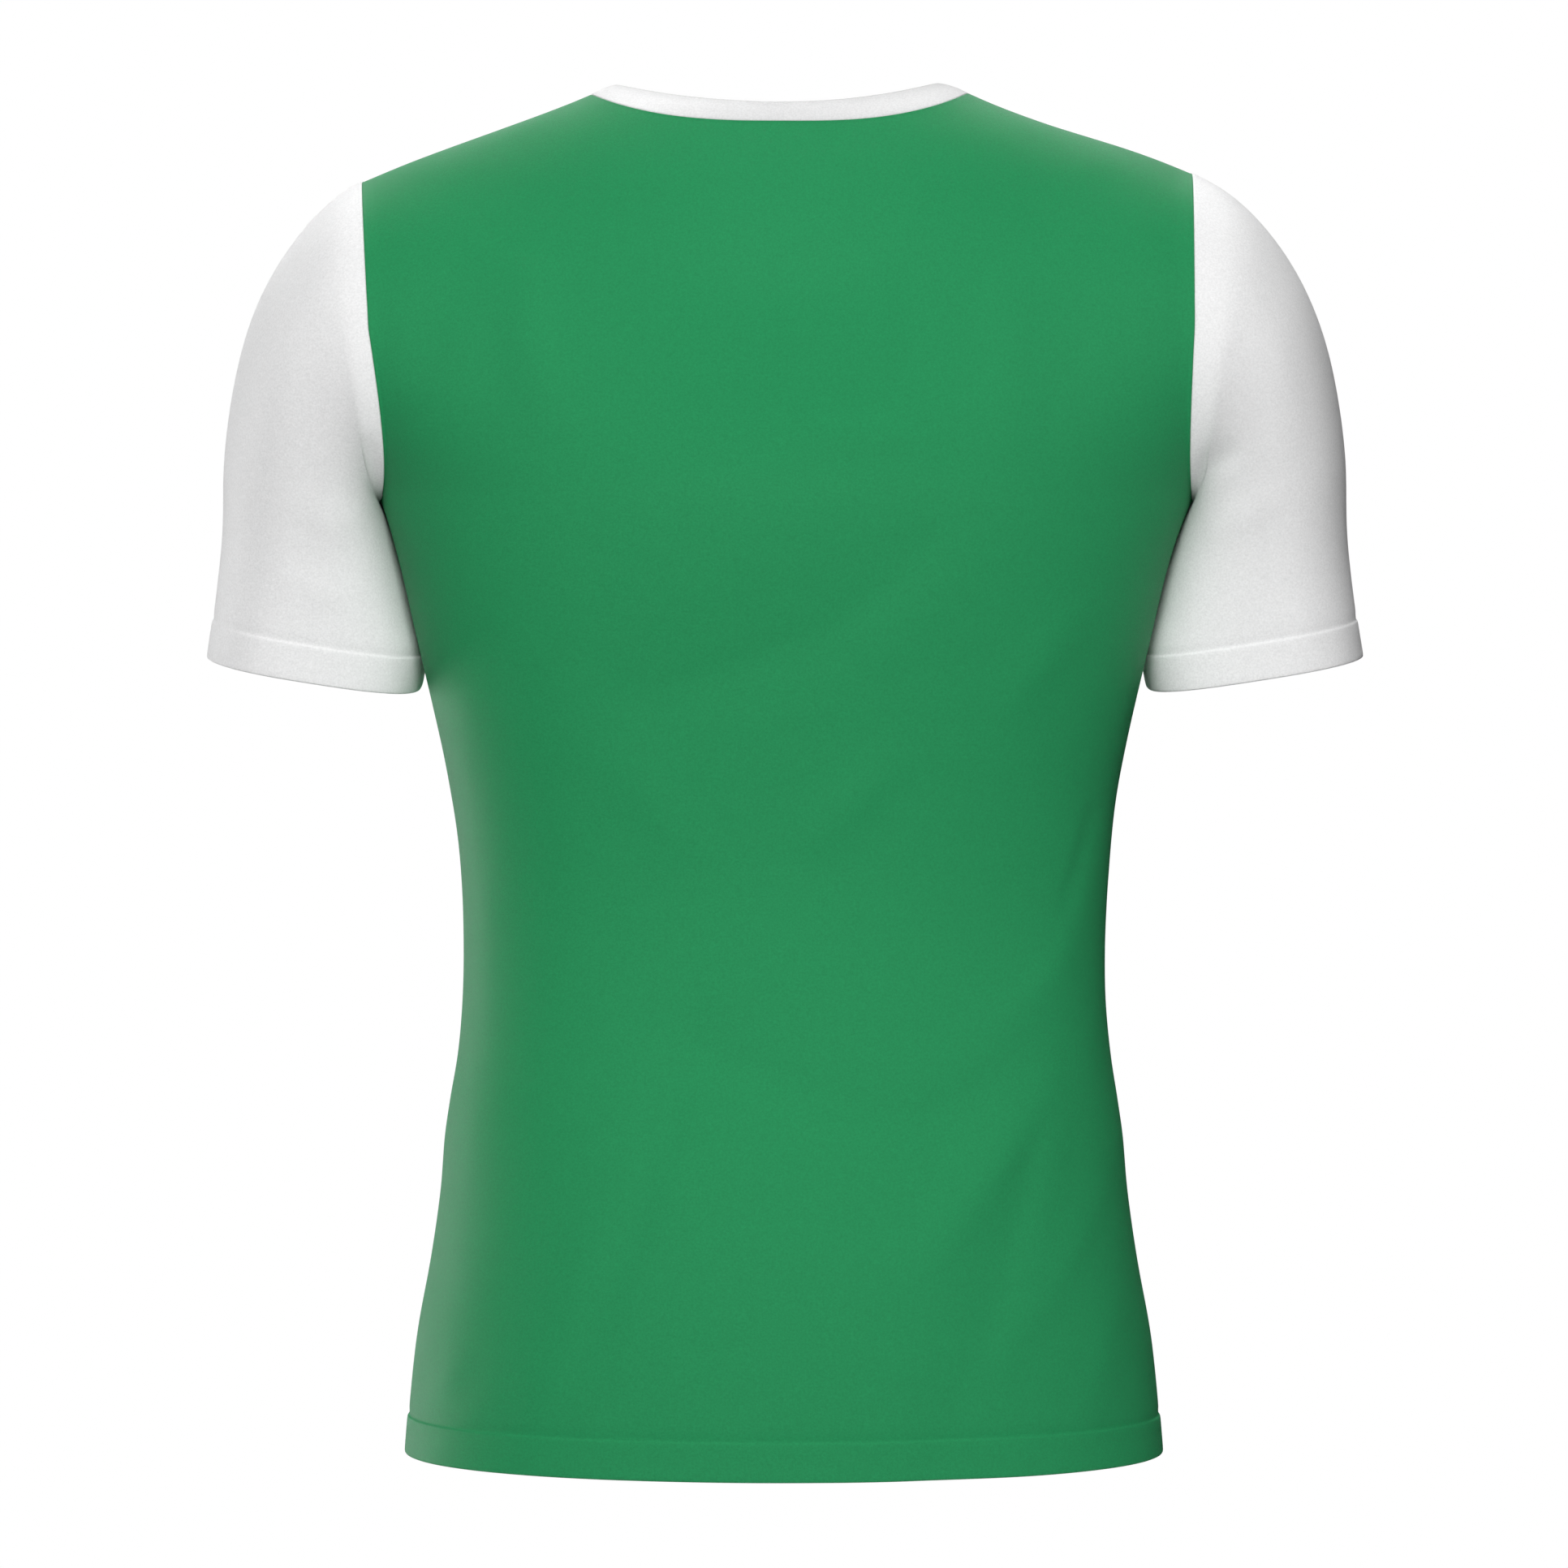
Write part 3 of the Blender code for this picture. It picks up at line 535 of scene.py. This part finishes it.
def across(half_row, face, at):
    """A whole row, from the left edge of a panel to its right one."""
    left, right = (half_row(side, face, at) for side in SIDES)
    return np.concatenate([left[::-1], right[1:]])


def neck_edge_half_row(side, face, _):
    """The neckband's free edge, from the middle of the back or the front to the side."""
    wide, deep = rounded(QUARTER_TURN, NECK_EDGE_ROUND[face])
    middle = NECK_EDGE_MIDDLE[face]
    side_x, side_z = NECK_EDGE_SIDE[side]
    x = mix(middle[0], SIDES[side] * side_x, wide)
    z = mix(side_z, middle[2], deep**NECK_EDGE_LIFT)
    return np.stack([x, middle[1] * deep, z], axis=1)


def ring_of(back_row, front_row):
    """A closed ring of two rows: across the back from left to right, and back across the front."""
    return np.concatenate([back_row[:-1], front_row[:0:-1]])


def sleeve_ring(ring, side):
    """A closed ring of a sleeve, from the underarm over the back to the top and down the front."""
    sine, cosine = rounded(WHOLE_TURN, ring.square)
    outer = np.array([ring.outer_x + SLEEVE_OUT[side], ring.outer_y, ring.outer_z])
    inner_x = trunk_side(side, ring.inner_y, ring.inner_z) + ring.clear
    inner = np.array([inner_x, ring.inner_y, ring.inner_z])
    points = mix(inner, outer, ((1 - cosine) / 2)[:, None])
    points[:, 1] += ring.deep * sine
    points[:, 2] -= ring.tilt * SLEEVE_TILT[side] * ring.deep * sine
    return points * [SIDES[side], 1, 1]


def closed(grid, axis=0):
    """A ring or rings, with the first point or column again at the end."""
    return np.concatenate([grid, grid.take([0], axis)], axis)


def form_of(face):
    """The form of the back or the front, as rows of points from hem to neck seam."""
    left_to_go = np.linspace(1, 0, TRUNK_STEPS + 1) ** CROWDING
    rows = [across(trunk_half_row, face, mix(UNDERARM_Z, HEM_Z, left)) for left in left_to_go]
    rows += [across(armhole_half_row, face, (k + 1) / ARMHOLE_STEPS) for k in range(ARMHOLE_STEPS)]
    rows += [across(shoulder_half_row, face, (k + 1) / SHOULDER_STEPS) for k in range(SHOULDER_STEPS)]
    grid = np.array(rows)
    top = grid[TRUNK_STEPS - SMOOTHING_ROWS :]
    for _ in range(SMOOTHING):
        for step in (SMOOTHING_STEP, -SMOOTHING_STEP):
            around = top[:-2, 1:-1] + top[2:, 1:-1] + top[1:-1, :-2] + top[1:-1, 2:]
            top[1:-1, 1:-1] += step * (around / 4 - top[1:-1, 1:-1])
    return grid


def seam_point(side, face, row):
    """A point of a panel's edge: its side seam, its armhole or its shoulder seam."""
    if row < TRUNK_STEPS:
        z = mix(UNDERARM_Z, HEM_Z, (1 - row / TRUNK_STEPS) ** CROWDING)
        return trunk_half_row(side, face, z)[-1]
    row -= TRUNK_STEPS
    if row < ARMHOLE_STEPS:
        return armhole(side, face, math.pi * row / ARMHOLE_STEPS)
    share = (row - ARMHOLE_STEPS) / SHOULDER_STEPS
    tip_x = SHOULDER_TIP[side][0]
    seam_x = mix(tip_x, SHOULDER_NECK[side][0], share)
    return upper(side, face, seam_x / tip_x, math.pi)


def smooth_curve(knots, values, at):
    """A natural cubic spline through values at the knots, read at other places."""
    steps = np.diff(knots)
    flat = values.reshape(len(knots), -1)
    slopes = np.diff(flat, axis=0) / steps[:, None]
    matrix = np.eye(len(knots))
    for i in range(1, len(knots) - 1):
        matrix[i, i - 1 : i + 2] = steps[i - 1], 2 * (steps[i - 1] + steps[i]), steps[i]
    bends = np.zeros(flat.shape)
    bends[1:-1] = 6 * np.diff(slopes, axis=0)
    bends = np.linalg.solve(matrix, bends)
    i = np.clip(np.searchsorted(knots, at) - 1, 0, len(steps) - 1)
    step = steps[i][:, None]
    b = (at - knots[i])[:, None] / step
    a = 1 - b
    curve = a * flat[i] + b * flat[i + 1]
    curve += ((a**3 - a) * bends[i] + (b**3 - b) * bends[i + 1]) * step**2 / 6
    return curve.reshape(len(at), *values.shape[1:])


def lengths_along(grid, axis):
    """The mean distance from a grid's first row or column to each of the others."""
    steps = np.linalg.norm(np.diff(grid, axis=axis), axis=2).mean(axis=1 - axis)
    return np.concatenate([[0], np.cumsum(steps)])


def graded(stops, length=0):
    """Places along a line, with steps that change evenly from stop to stop. A place below 0, or the last one
    where it is 0, is measured back from the line's end."""
    stops = [(at + length if at < 0 or (i and at == 0) else at, step) for i, (at, step) in enumerate(stops)]
    places = [np.zeros(1)]
    for (start, step), (end, next_step) in zip(stops, stops[1:]):
        count = max(1, round((end - start) / ((step + next_step) / 2)))
        share = np.arange(1, count + 1) / count
        grown = step * share + (next_step - step) * share**2 / 2
        places.append(start + (end - start) * grown / grown[-1])
    return np.concatenate(places)


def closed_curve(ring, at):
    """A smooth closed curve through a ring of points, read at places counted in points."""
    overlap = len(ring) // 4
    knots = np.arange(-overlap, len(ring) + overlap + 1)
    return smooth_curve(knots.astype(float), ring[knots % len(ring)], at)


def body_surface(face, columns):
    """The outer surface of the back or the front as a fine grid, and each row's height above the hem."""
    form = form_of(face)
    heights = graded(TRUNK_STOPS)
    left_to_go = np.maximum(1 - heights / (UNDERARM_Z - HEM_Z), 0)
    trunk_rows = TRUNK_STEPS * (1 - left_to_go ** (1 / CROWDING))
    armhole_rows = TRUNK_STEPS + graded(ARMHOLE_STOPS)[1:]
    shoulder_rows = TRUNK_STEPS + ARMHOLE_STEPS + graded(SHOULDER_STOPS)[1:]
    rows = np.concatenate([trunk_rows, armhole_rows, shoulder_rows])
    knots = lengths_along(form, 0)
    grid = smooth_curve(knots, form, np.interp(rows, np.arange(len(knots)), knots))
    for side, column in SIDE_COLUMNS.items():
        grid[:, column] = [seam_point(side, face, row) for row in rows]
    knots = lengths_along(grid, 1)
    at = np.interp(columns, np.arange(len(knots)), knots)
    grid = smooth_curve(knots, grid.transpose(1, 0, 2), at).transpose(1, 0, 2)
    rises = np.concatenate([heights, np.full(len(rows) - len(heights), np.inf)])
    corner_rows = (0, len(heights) - 1, len(heights) + len(armhole_rows) - 1, len(rows) - 1)
    return grid, rises, corner_rows


def sleeve_surface(side):
    """A sleeve's outer surface as rings from armhole to cuff, and each ring's height above the cuff."""
    turns = np.arange(ARMHOLE_STEPS + 1) * math.pi / ARMHOLE_STEPS
    back, front = ([armhole(side, face, turn) for turn in turns] for face in FACES)
    rings = [np.array(back + front[-2:0:-1])]
    for i, ring in enumerate(SLEEVE_RINGS):
        inward = (1 + np.cos(WHOLE_TURN)) / 2
        fuller = mix(FULLER["out"], FULLER["in"], inward)
        square = ring.square + fuller * min(i / FULLER_AT, 1) ** 2
        deep = ring.deep + (FILLED[i] if i < len(FILLED) else 0)
        rings.append(sleeve_ring(ring._replace(square=square, deep=deep), side))
    form = np.array(rings)
    knots = lengths_along(form, 0)
    places = graded(SLEEVE_STOPS, knots[-1])
    grid = smooth_curve(knots, form, places)
    around = np.arange(SLEEVE_AROUND) * 2 * ARMHOLE_STEPS / SLEEVE_AROUND
    grid = closed_curve(grid.transpose(1, 0, 2), around).transpose(1, 0, 2)
    rises = np.interp(places, [0, knots[-2], knots[-1]], [knots[-2] + CUFF_DEPTH, CUFF_DEPTH, 0])
    return grid, rises


def neckband_surface(back, front, columns):
    """The band's outer surface as rings from the seam to its free edge, and each one's distance to that."""
    seam = ring_of(back[-1], front[-1])
    edge = ring_of(*(across(neck_edge_half_row, face, None) for face in FACES))
    around = np.concatenate([columns[:-1], 4 * ACROSS - columns[:0:-1]])
    edge = closed_curve(edge, around)
    width = np.linalg.norm(edge - seam, axis=1).mean()
    places = graded(BAND_STOPS, width)
    shares = (places / width)[:, None, None]
    grid = mix(seam, edge, shares)
    return grid + normals_of(grid, True) * NECK_CROWN * np.sin(math.pi * shares), width - places


def normals_of(grid, round_it):
    """Outward normals of a grid of points. round_it says that its rows are closed rings."""
    wide = np.concatenate([grid[:, -1:], grid, grid[:, :1]], axis=1) if round_it else grid
    across_it = np.gradient(wide, axis=1)
    across_it = across_it[:, 1:-1] if round_it else across_it
    normals = np.cross(across_it, np.gradient(grid, axis=0))
    normals /= np.linalg.norm(normals, axis=2, keepdims=True)
    from_middle = grid - grid.mean(axis=1, keepdims=True)
    return normals * np.sign((normals * from_middle).sum())


def tree_of(points):
    """A search tree of points."""
    tree = mathutils.kdtree.KDTree(len(points))
    for i, point in enumerate(points):
        tree.insert(point, i)
    tree.balance()
    return tree


def distance_to_line(points, line):
    """Each point's distance to a line through many points, and the place on that line, counted in points."""
    tree = tree_of(line)
    nearest = np.array([tree.find(point)[1] for point in points])
    distance, place = np.full(len(points), np.inf), np.zeros(len(points))
    for first in (np.maximum(nearest - 1, 0), np.minimum(nearest, len(line) - 2)):
        start, run = line[first], line[first + 1] - line[first]
        share = ((points - start) * run).sum(axis=1) / (run * run).sum(axis=1)
        share = np.clip(share, 0, 1)
        away = np.linalg.norm(points - start - share[:, None] * run, axis=1)
        place = np.where(away < distance, first + share, place)
        distance = np.minimum(away, distance)
    return distance, place


def seam_lines(surfaces):
    """Every seam as (line of points, {piece: how its cloth meets it}). All of them are edges of the grids."""
    lines = []

    def add(line, body_seam, **others):
        """Adds a seam that the back and the front meet alike."""
        lines.append((line, {**dict.fromkeys(FACES, body_seam), **others}))

    grid, _, rows = surfaces["back"]
    for side, column in SIDE_COLUMNS.items():
        sleeve = f"sleeve_{side}"
        add(grid[rows[0] : rows[1] + 1, column], SIDE_SEAM)
        add(grid[rows[2] : rows[3] + 1, column], SHOULDER_SEAM)
        add(closed(surfaces[sleeve][0][0]), ARMHOLE_SEAM, **{sleeve: SLEEVE_SEAM})
    add(closed(surfaces["neckband"][0][0]), NECK_SEAM, neckband=BAND_SEAM)
    return lines


def shared_normals(line, edges):
    """A seam's normal at each point of its line: the mean of those of the pieces that meet there."""
    total = np.zeros(line.shape)
    for grid, own in edges.values():
        tree = tree_of(grid)
        for i, point in enumerate(line):
            _, found, away = tree.find(point)
            total[i] += own[found] * math.exp(-((away / SAME_SEAM) ** 2))
    return total / np.linalg.norm(total, axis=1, keepdims=True)


def edge_points(grid, own, ring):
    """The points of a grid's edges and their normals."""
    if ring:
        return grid[0], own[0]
    parts = [(grid[:, 0], own[:, 0]), (grid[:, -1], own[:, -1]), (grid[-1], own[-1])]
    return tuple(np.concatenate(column) for column in zip(*parts))


def roll_in(seam, away):
    """How far cloth sinks at a distance from a seam: it rolls in at the seam, with a soft dip beside that."""
    share = np.clip(1 - away / seam.reach, 0, 1)
    roll = seam.roll * (1 - np.sqrt(1 - share**2))
    return -roll - seam.dip * bell(away - seam.dip_at, seam.dip_wide)


def turned_edge(rises, depth, step, thick):
    """(outer, inner) offsets of rows at these heights above an edge that is turned up once: it stands proud,
    its stitches pull the cloth in above it, and the edge itself is round and curls in a little."""
    past = np.clip((depth + TURN_RISE / 2 - rises) / TURN_RISE, 0, 1)
    turned = past**2 * (3 - 2 * past)
    outer = step * turned - TURN_DIP * bell(rises - depth - TURN_RISE, TURN_DIP_WIDE)
    inner = -thick * (1 + turned) + step * turned
    curl = EDGE_CURL * np.clip(1 - rises / EDGE_CURL_HIGH, 0, 1) ** 2
    middle, radius = (outer[0] + inner[0]) / 2, (outer[0] - inner[0]) / 2
    inset = 1 - np.sqrt(1 - np.clip(1 - rises / radius, 0, 1) ** 2)
    outer = outer - curl - (outer[0] - middle) * inset
    inner = inner - curl + (middle - inner[0]) * inset
    return outer, inner


def crease_line(crease, surface):
    """Points of a crease on the cloth: a bend through its middle point, laid on the surface."""
    share = np.linspace(0, 1, CREASE_POINTS)[:, None]
    start, middle, end = (np.array(p) for p in np.array(crease[:6]).reshape(3, 2))
    control = 2 * middle - (start + end) / 2
    flat = (1 - share) ** 2 * start + 2 * share * (1 - share) * control + share**2 * end
    shadow = surface[:, [0, 2]]
    nearest = [int(np.argmin(((shadow - point) ** 2).sum(axis=1))) for point in flat]
    return np.stack([flat[:, 0], surface[nearest, 1], flat[:, 1]], axis=1)


def crease_heights(creases, points, facing):
    """How far creases move each point in or out. facing marks the points on the side that they lie on."""
    moved = np.zeros(len(points))
    surface = points[facing]
    for crease in map(Crease._make, creases):
        line = crease_line(crease, surface)
        away, place = distance_to_line(points, line)
        taper = np.sin(math.pi * place / (CREASE_POINTS - 1)) ** CREASE_TAPER
        at = np.clip(np.round(place).astype(int), 1, CREASE_POINTS - 1)
        run = line[at] - line[at - 1]
        beside = points - line[at]
        side = np.sign(run[:, 0] * beside[:, 2] - run[:, 2] * beside[:, 0])
        moved += crease.height * taper * bell(away, crease.reach * crease.lean**side)
    return moved


def fold_heights(points, face):
    """How far the larger folds, which the solids have too, move each point of a body panel in or out."""
    moved = np.zeros(len(points))
    for fold in map(Fold._make, FOLDS[face]):
        start, end = np.array([fold.x0, fold.z0]), np.array([fold.x1, fold.z1])
        run = end - start
        place = points[:, [0, 2]] - start
        along = np.clip((place @ run) / (run @ run), 0, 1)
        away = np.linalg.norm(place - along[:, None] * run, axis=1)
        moved += fold.height * bell(away, fold.reach)
    return moved


def cloth_form(name, grid, own, near_seam):
    """How far the folds, the creases and the slight unevenness move each point of a piece in or out."""
    points = grid.reshape(-1, 3)
    form = unevenness(points)
    if name in FACES:
        share = np.abs(np.linspace(-1, 1, grid.shape[1])) ** FOLD_EDGE
        moved = fold_heights(points, name) + crease_heights(CREASES[name], points, np.full(len(points), True))
        return form + moved * np.tile(1 - share, len(grid))
    for face, outward in (("back", 1), ("front", -1)):
        creases = CREASES.get(f"{name}_{face}", [])
        form += crease_heights(creases, points, own[:, 1] * outward > 0) * (1 - near_seam)
    return form


def unevenness(surface):
    """The slight waves of soft cloth, the same wherever two pieces meet."""
    total = np.zeros(len(surface))
    for length, height in UNEVEN:
        waves = [mathutils.noise.noise(mathutils.Vector(point / length)) for point in surface]
        total += height * np.array(waves)
    return total


def flat_places(grid, ring):
    """Each point's place on the flat cloth, across and along, in metres. Rings are closed first."""
    wide = closed(grid, 1) if ring else grid
    steps = np.linalg.norm(np.diff(wide, axis=1), axis=2)
    u = np.concatenate([np.zeros((len(grid), 1)), np.cumsum(steps, axis=1)], axis=1)
    if not ring:
        u -= u[:, u.shape[1] // 2, None]
    v = np.broadcast_to(lengths_along(grid, 0)[:, None], u.shape)
    return np.stack([u, v], axis=2) * MM


def add_object(name, data):
    """Adds an object to the scene."""
    made = bpy.data.objects.new(name, data)
    bpy.context.scene.collection.objects.link(made)
    return made


def shell(name, outer, inner, ring, places, shade):
    """A closed shell of cloth between two grids of points."""
    rows, columns = outer.shape[:2]
    count = rows * columns
    wide = columns + 1 if ring else columns
    vertex = np.arange(count).reshape(rows, columns)
    if ring:
        vertex = closed(vertex, 1)
    place = np.arange(rows * wide).reshape(rows, wide)

    def quads(a, b):
        """Corners of the faces between two lines of points, or of all faces of a grid."""
        return np.stack([a[..., :-1], a[..., 1:], b[..., 1:], b[..., :-1]], axis=-1).reshape(-1, 4)

    faces, corners = [], []
    for index in (vertex, vertex + count):
        faces.append(quads(index[:-1], index[1:]))
        corners.append(quads(place[:-1], place[1:]))
    rims = [(vertex[0], place[0]), (vertex[-1], place[-1])]
    if not ring:
        rims += [(vertex[:, 0], place[:, 0]), (vertex[:, -1], place[:, -1])]
    for line, at in rims:
        faces.append(quads(line, line + count))
        corners.append(quads(at, at))
    mesh = bpy.data.meshes.new(name)
    points = np.concatenate([outer.reshape(-1, 3), inner.reshape(-1, 3)]) * MM
    mesh.from_pydata(points.tolist(), [], np.concatenate(faces).tolist())
    flat = mesh.uv_layers.new(name=CLOTH_PLACES)
    flat.data.foreach_set("uv", places.reshape(-1, 2)[np.concatenate(corners).ravel()].ravel())
    # The painted shade of seams and neckband edge, kept as an attribute for the material
    painted_shading = mesh.attributes.new(CLOTH_SHADE, "FLOAT", "POINT")
    painted_shading.data.foreach_set("value", np.tile(shade, 2).astype(np.float32))
    tidy = bmesh.new()
    tidy.from_mesh(mesh)
    bmesh.ops.recalc_face_normals(tidy, faces=tidy.faces)
    tidy.to_mesh(mesh)
    tidy.free()
    mesh.shade_smooth()
    return add_object(name, mesh)


def dress():
    """Makes the five pieces of cloth, each in place of its solid."""
    half = graded(COLUMN_STOPS)
    columns = np.concatenate([half, 2 * ACROSS - half[-2::-1]])
    surfaces = {face: body_surface(face, columns) for face in FACES}
    surfaces.update({f"sleeve_{side}": sleeve_surface(side) for side in SIDES})
    surfaces["neckband"] = neckband_surface(surfaces["back"][0], surfaces["front"][0], columns)
    grids = {name: made[0] for name, made in surfaces.items()}
    normals = {name: normals_of(grid, name not in FACES) for name, grid in grids.items()}
    edges = {name: edge_points(grids[name], normals[name], name not in FACES) for name in grids}
    seams = [(line, sides, shared_normals(line, edges)) for line, sides in seam_lines(surfaces)]
    pieces = {}
    for name, grid in grids.items():
        ring = name not in FACES
        rises = surfaces[name][1]
        points, own = grid.reshape(-1, 3), normals[name].reshape(-1, 3).copy()
        sunk, seam_share, allowance, near_seam = (np.zeros(len(points)) for _ in range(4))
        for line, sides, shared in seams:
            if name not in sides:
                continue
            away, place = distance_to_line(points, line)
            near = bell(away, JOIN_REACH)[:, None]
            own += (shared[np.round(place).astype(int)] - own) * near
            sunk = np.minimum(sunk, roll_in(sides[name], away))
            seam_share = np.maximum(seam_share, bell(away, SEAM_SHADE_REACH))
            near_seam = np.maximum(near_seam, bell(away, CALM_REACH))
            allowance = np.maximum(allowance, np.clip((ALLOWANCE - away) / ALLOWANCE_EDGE, 0, 1))
        own /= np.linalg.norm(own, axis=1, keepdims=True)
        form = cloth_form(name, grid, own, near_seam)
        made = PIECES[name]
        outer, inner = turned_edge(rises, made.turn_depth, made.turn_step, made.thick)
        outer, inner = (np.repeat(side, grid.shape[1]) for side in (outer, inner))
        # Painted shade: the cloth is painted darker near its seams, and the neckband towards its folded edge
        shade = FINISHES[made.slot].seam_tint * seam_share
        # The neckband's painted shade: greyer towards its folded edge, which faces up into the light
        if name == "neckband":
            allowance *= 0
            for share, reach in BAND_PAINTED_SHADES:
                shade += share * bell(np.repeat(rises, grid.shape[1]), reach)
        outer = outer + form + sunk
        inner = inner + form + np.maximum(sunk, -INNER_SINK * made.thick) - ALLOWANCE_THICK * allowance
        shape = grid.shape
        wall = [(points + own * offset[:, None]).reshape(shape) for offset in (outer, inner)]
        pieces[name] = shell(f"{name}_cloth", *wall, ring, flat_places(grid, ring), shade)
    return pieces


def add_node(tree, kind, inputs=None, **settings):
    """A shader node. inputs maps a socket's name or number to a value or to the socket linked to it."""
    node = tree.nodes.new(kind)
    for key, value in settings.items():
        setattr(node, key, value)
    for key, value in (inputs or {}).items():
        if isinstance(value, bpy.types.NodeSocket):
            tree.links.new(value, node.inputs[key])
        else:
            node.inputs[key].default_value = value
    return node


def maths(tree, operation, *values):
    """The result of a Math node."""
    return add_node(tree, "ShaderNodeMath", dict(enumerate(values)), operation=operation).outputs[0]


def noise(tree, where, size, detail):
    """Noise with spots of a size in millimetres."""
    inputs = {"Vector": where, "Scale": 1 / (size * MM), "Detail": detail}
    return add_node(tree, "ShaderNodeTexNoise", inputs).outputs["Fac"]


def knit_height(tree):
    """The relief of fine plain knit: columns of loops, each loop a V."""
    flat = add_node(tree, "ShaderNodeUVMap", uv_map=CLOTH_PLACES)
    apart = add_node(tree, "ShaderNodeSeparateXYZ", {0: flat.outputs[0]})
    column = maths(tree, "MULTIPLY", apart.outputs[0], 1 / (WALE * MM))
    slant = maths(tree, "PINGPONG", column, 0.5)
    course = maths(tree, "MULTIPLY", apart.outputs[1], 1 / (COURSE * MM))
    turned = maths(tree, "MULTIPLY_ADD", slant, LOOP_SLANT, course)
    legs = maths(tree, "SINE", maths(tree, "MULTIPLY", turned, 2 * math.pi))
    sides = maths(tree, "SINE", maths(tree, "MULTIPLY", slant, 2 * math.pi))
    return maths(tree, "MULTIPLY_ADD", legs, 0.5, sides)


def cloth_finish(name, slot):
    """The finish of one of the record's cloths."""
    finish = FINISHES[slot]
    material = bpy.data.materials.new(name)
    material.use_nodes = True
    tree = material.node_tree
    shader = tree.nodes["Principled BSDF"]
    where = add_node(tree, "ShaderNodeTexCoord").outputs["Object"]
    grain = noise(tree, where, GRAIN, GRAIN_DETAIL)
    cloud = noise(tree, where, CLOUD, CLOUD_DETAIL)
    shade = add_node(tree, "ShaderNodeAttribute", attribute_name=CLOTH_SHADE, attribute_type="GEOMETRY")
    light = maths(tree, "MULTIPLY_ADD", grain, finish.grain, 1 - finish.grain / 2)
    patch = maths(tree, "MULTIPLY_ADD", cloud, CLOUD_CONTRAST, 1 - CLOUD_CONTRAST / 2)
    # Painted shade: the colour is darkened by the cloth_shade attribute near seams and at the neckband's edge
    painted_shading = maths(tree, "SUBTRACT", 1.0, shade.outputs["Fac"])
    value = maths(tree, "MULTIPLY", maths(tree, "MULTIPLY", light, patch), painted_shading)
    tinted = add_node(tree, "ShaderNodeHueSaturation", {"Value": value, "Color": finish.colour})
    relief = {"Strength": GRAIN_BUMP, "Distance": GRAIN_DEPTH * MM, "Height": grain}
    coarse = add_node(tree, "ShaderNodeBump", relief)
    relief = {"Strength": 1.0, "Distance": LOOP_DEPTH * MM, "Height": knit_height(tree)}
    bump = add_node(tree, "ShaderNodeBump", {**relief, "Normal": coarse.outputs[0]})
    tree.links.new(tinted.outputs[0], shader.inputs["Base Color"])
    tree.links.new(bump.outputs[0], shader.inputs["Normal"])
    shader.inputs["Roughness"].default_value = finish.rough
    shader.inputs["Specular IOR Level"].default_value = finish.specular
    shader.inputs["Sheen Weight"].default_value = finish.sheen
    shader.inputs["Sheen Roughness"].default_value = finish.sheen_rough
    return material


def place_light(name, data, place, towards_light):
    """Adds a light that shines from the direction given."""
    light = add_object(name, data)
    light.location = place
    light.rotation_mode = "QUATERNION"
    light.rotation_quaternion = towards_light.to_track_quat("Z", "Y")
    light.visible_camera = False


def far_light(name, azimuth, elevation, wide, strength):
    """A far, wide light that shines on the shirt from one direction."""
    data = bpy.data.lights.new(name, "SUN")
    data.energy, data.angle = math.pi * strength, math.radians(wide)
    turn, rise = math.radians(azimuth), math.radians(elevation)
    level = math.cos(rise)
    ahead = mathutils.Vector((math.sin(turn) * level, -math.cos(turn) * level, math.sin(rise)))
    place_light(name, data, (0, 0, 0), ahead)


def soft_box():
    """A square soft light on the camera's side."""
    data = bpy.data.lights.new("soft_box", "AREA")
    data.shape, data.size = "SQUARE", SOFT_BOX_SIDE
    ahead = mathutils.Vector(SOFT_BOX) - mathutils.Vector((0.0, 0.0, EYE[2]))
    data.energy = SOFT_BOX_STRENGTH * (math.pi * ahead.length) ** 2
    place_light("soft_box", data, SOFT_BOX, ahead)


def make_world():
    """Plain white behind the shirt, and a faint light from all round."""
    world = bpy.data.worlds.new("studio")
    world.use_nodes = True
    tree = world.node_tree
    tree.nodes.clear()
    lit = add_node(tree, "ShaderNodeBackground", {"Color": WHITE, "Strength": SKY_LEVEL})
    seen = add_node(tree, "ShaderNodeBackground", {"Color": WHITE, "Strength": 1.0})
    eye = add_node(tree, "ShaderNodeLightPath").outputs["Is Camera Ray"]
    mixed = add_node(tree, "ShaderNodeMixShader", {0: eye, 1: lit.outputs[0], 2: seen.outputs[0]})
    out = add_node(tree, "ShaderNodeOutputWorld")
    tree.links.new(mixed.outputs[0], out.inputs[0])
    bpy.context.scene.world = world


def make_floor():
    """A plain pale disc, well below the camera's view."""
    mesh = bpy.data.meshes.new("floor")
    disc = bmesh.new()
    bmesh.ops.create_circle(disc, cap_ends=True, segments=FLOOR_SEGMENTS, radius=FLOOR_RADIUS)
    disc.to_mesh(mesh)
    disc.free()
    floor = add_object("floor", mesh)
    floor.location = (0, 0, FLOOR_Z)
    material = bpy.data.materials.new("floor_paint")
    material.use_nodes = True
    material.node_tree.nodes["Principled BSDF"].inputs["Base Color"].default_value = FLOOR_COLOUR
    mesh.materials.append(material)


def make_camera():
    """A level camera that looks straight at the back."""
    data = bpy.data.cameras.new("camera")
    data.lens, data.sensor_width = LENS, SENSOR
    camera = add_object("camera", data)
    camera.location = EYE
    camera.rotation_euler = (math.pi / 2, 0, math.pi)
    bpy.context.scene.camera = camera


pieces = dress()
for name, piece in pieces.items():
    made = PIECES[name]
    piece.data.materials.append(cloth_finish(f"{made.slot}_{name}", made.slot))
    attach(piece, "root")
    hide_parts(f"{name}_panel" if name in FACES else name)

bpy.context.scene.view_settings.view_transform = "Standard"
make_world()
make_floor()
make_camera()
for light in LIGHTS:
    far_light(*light)
soft_box()
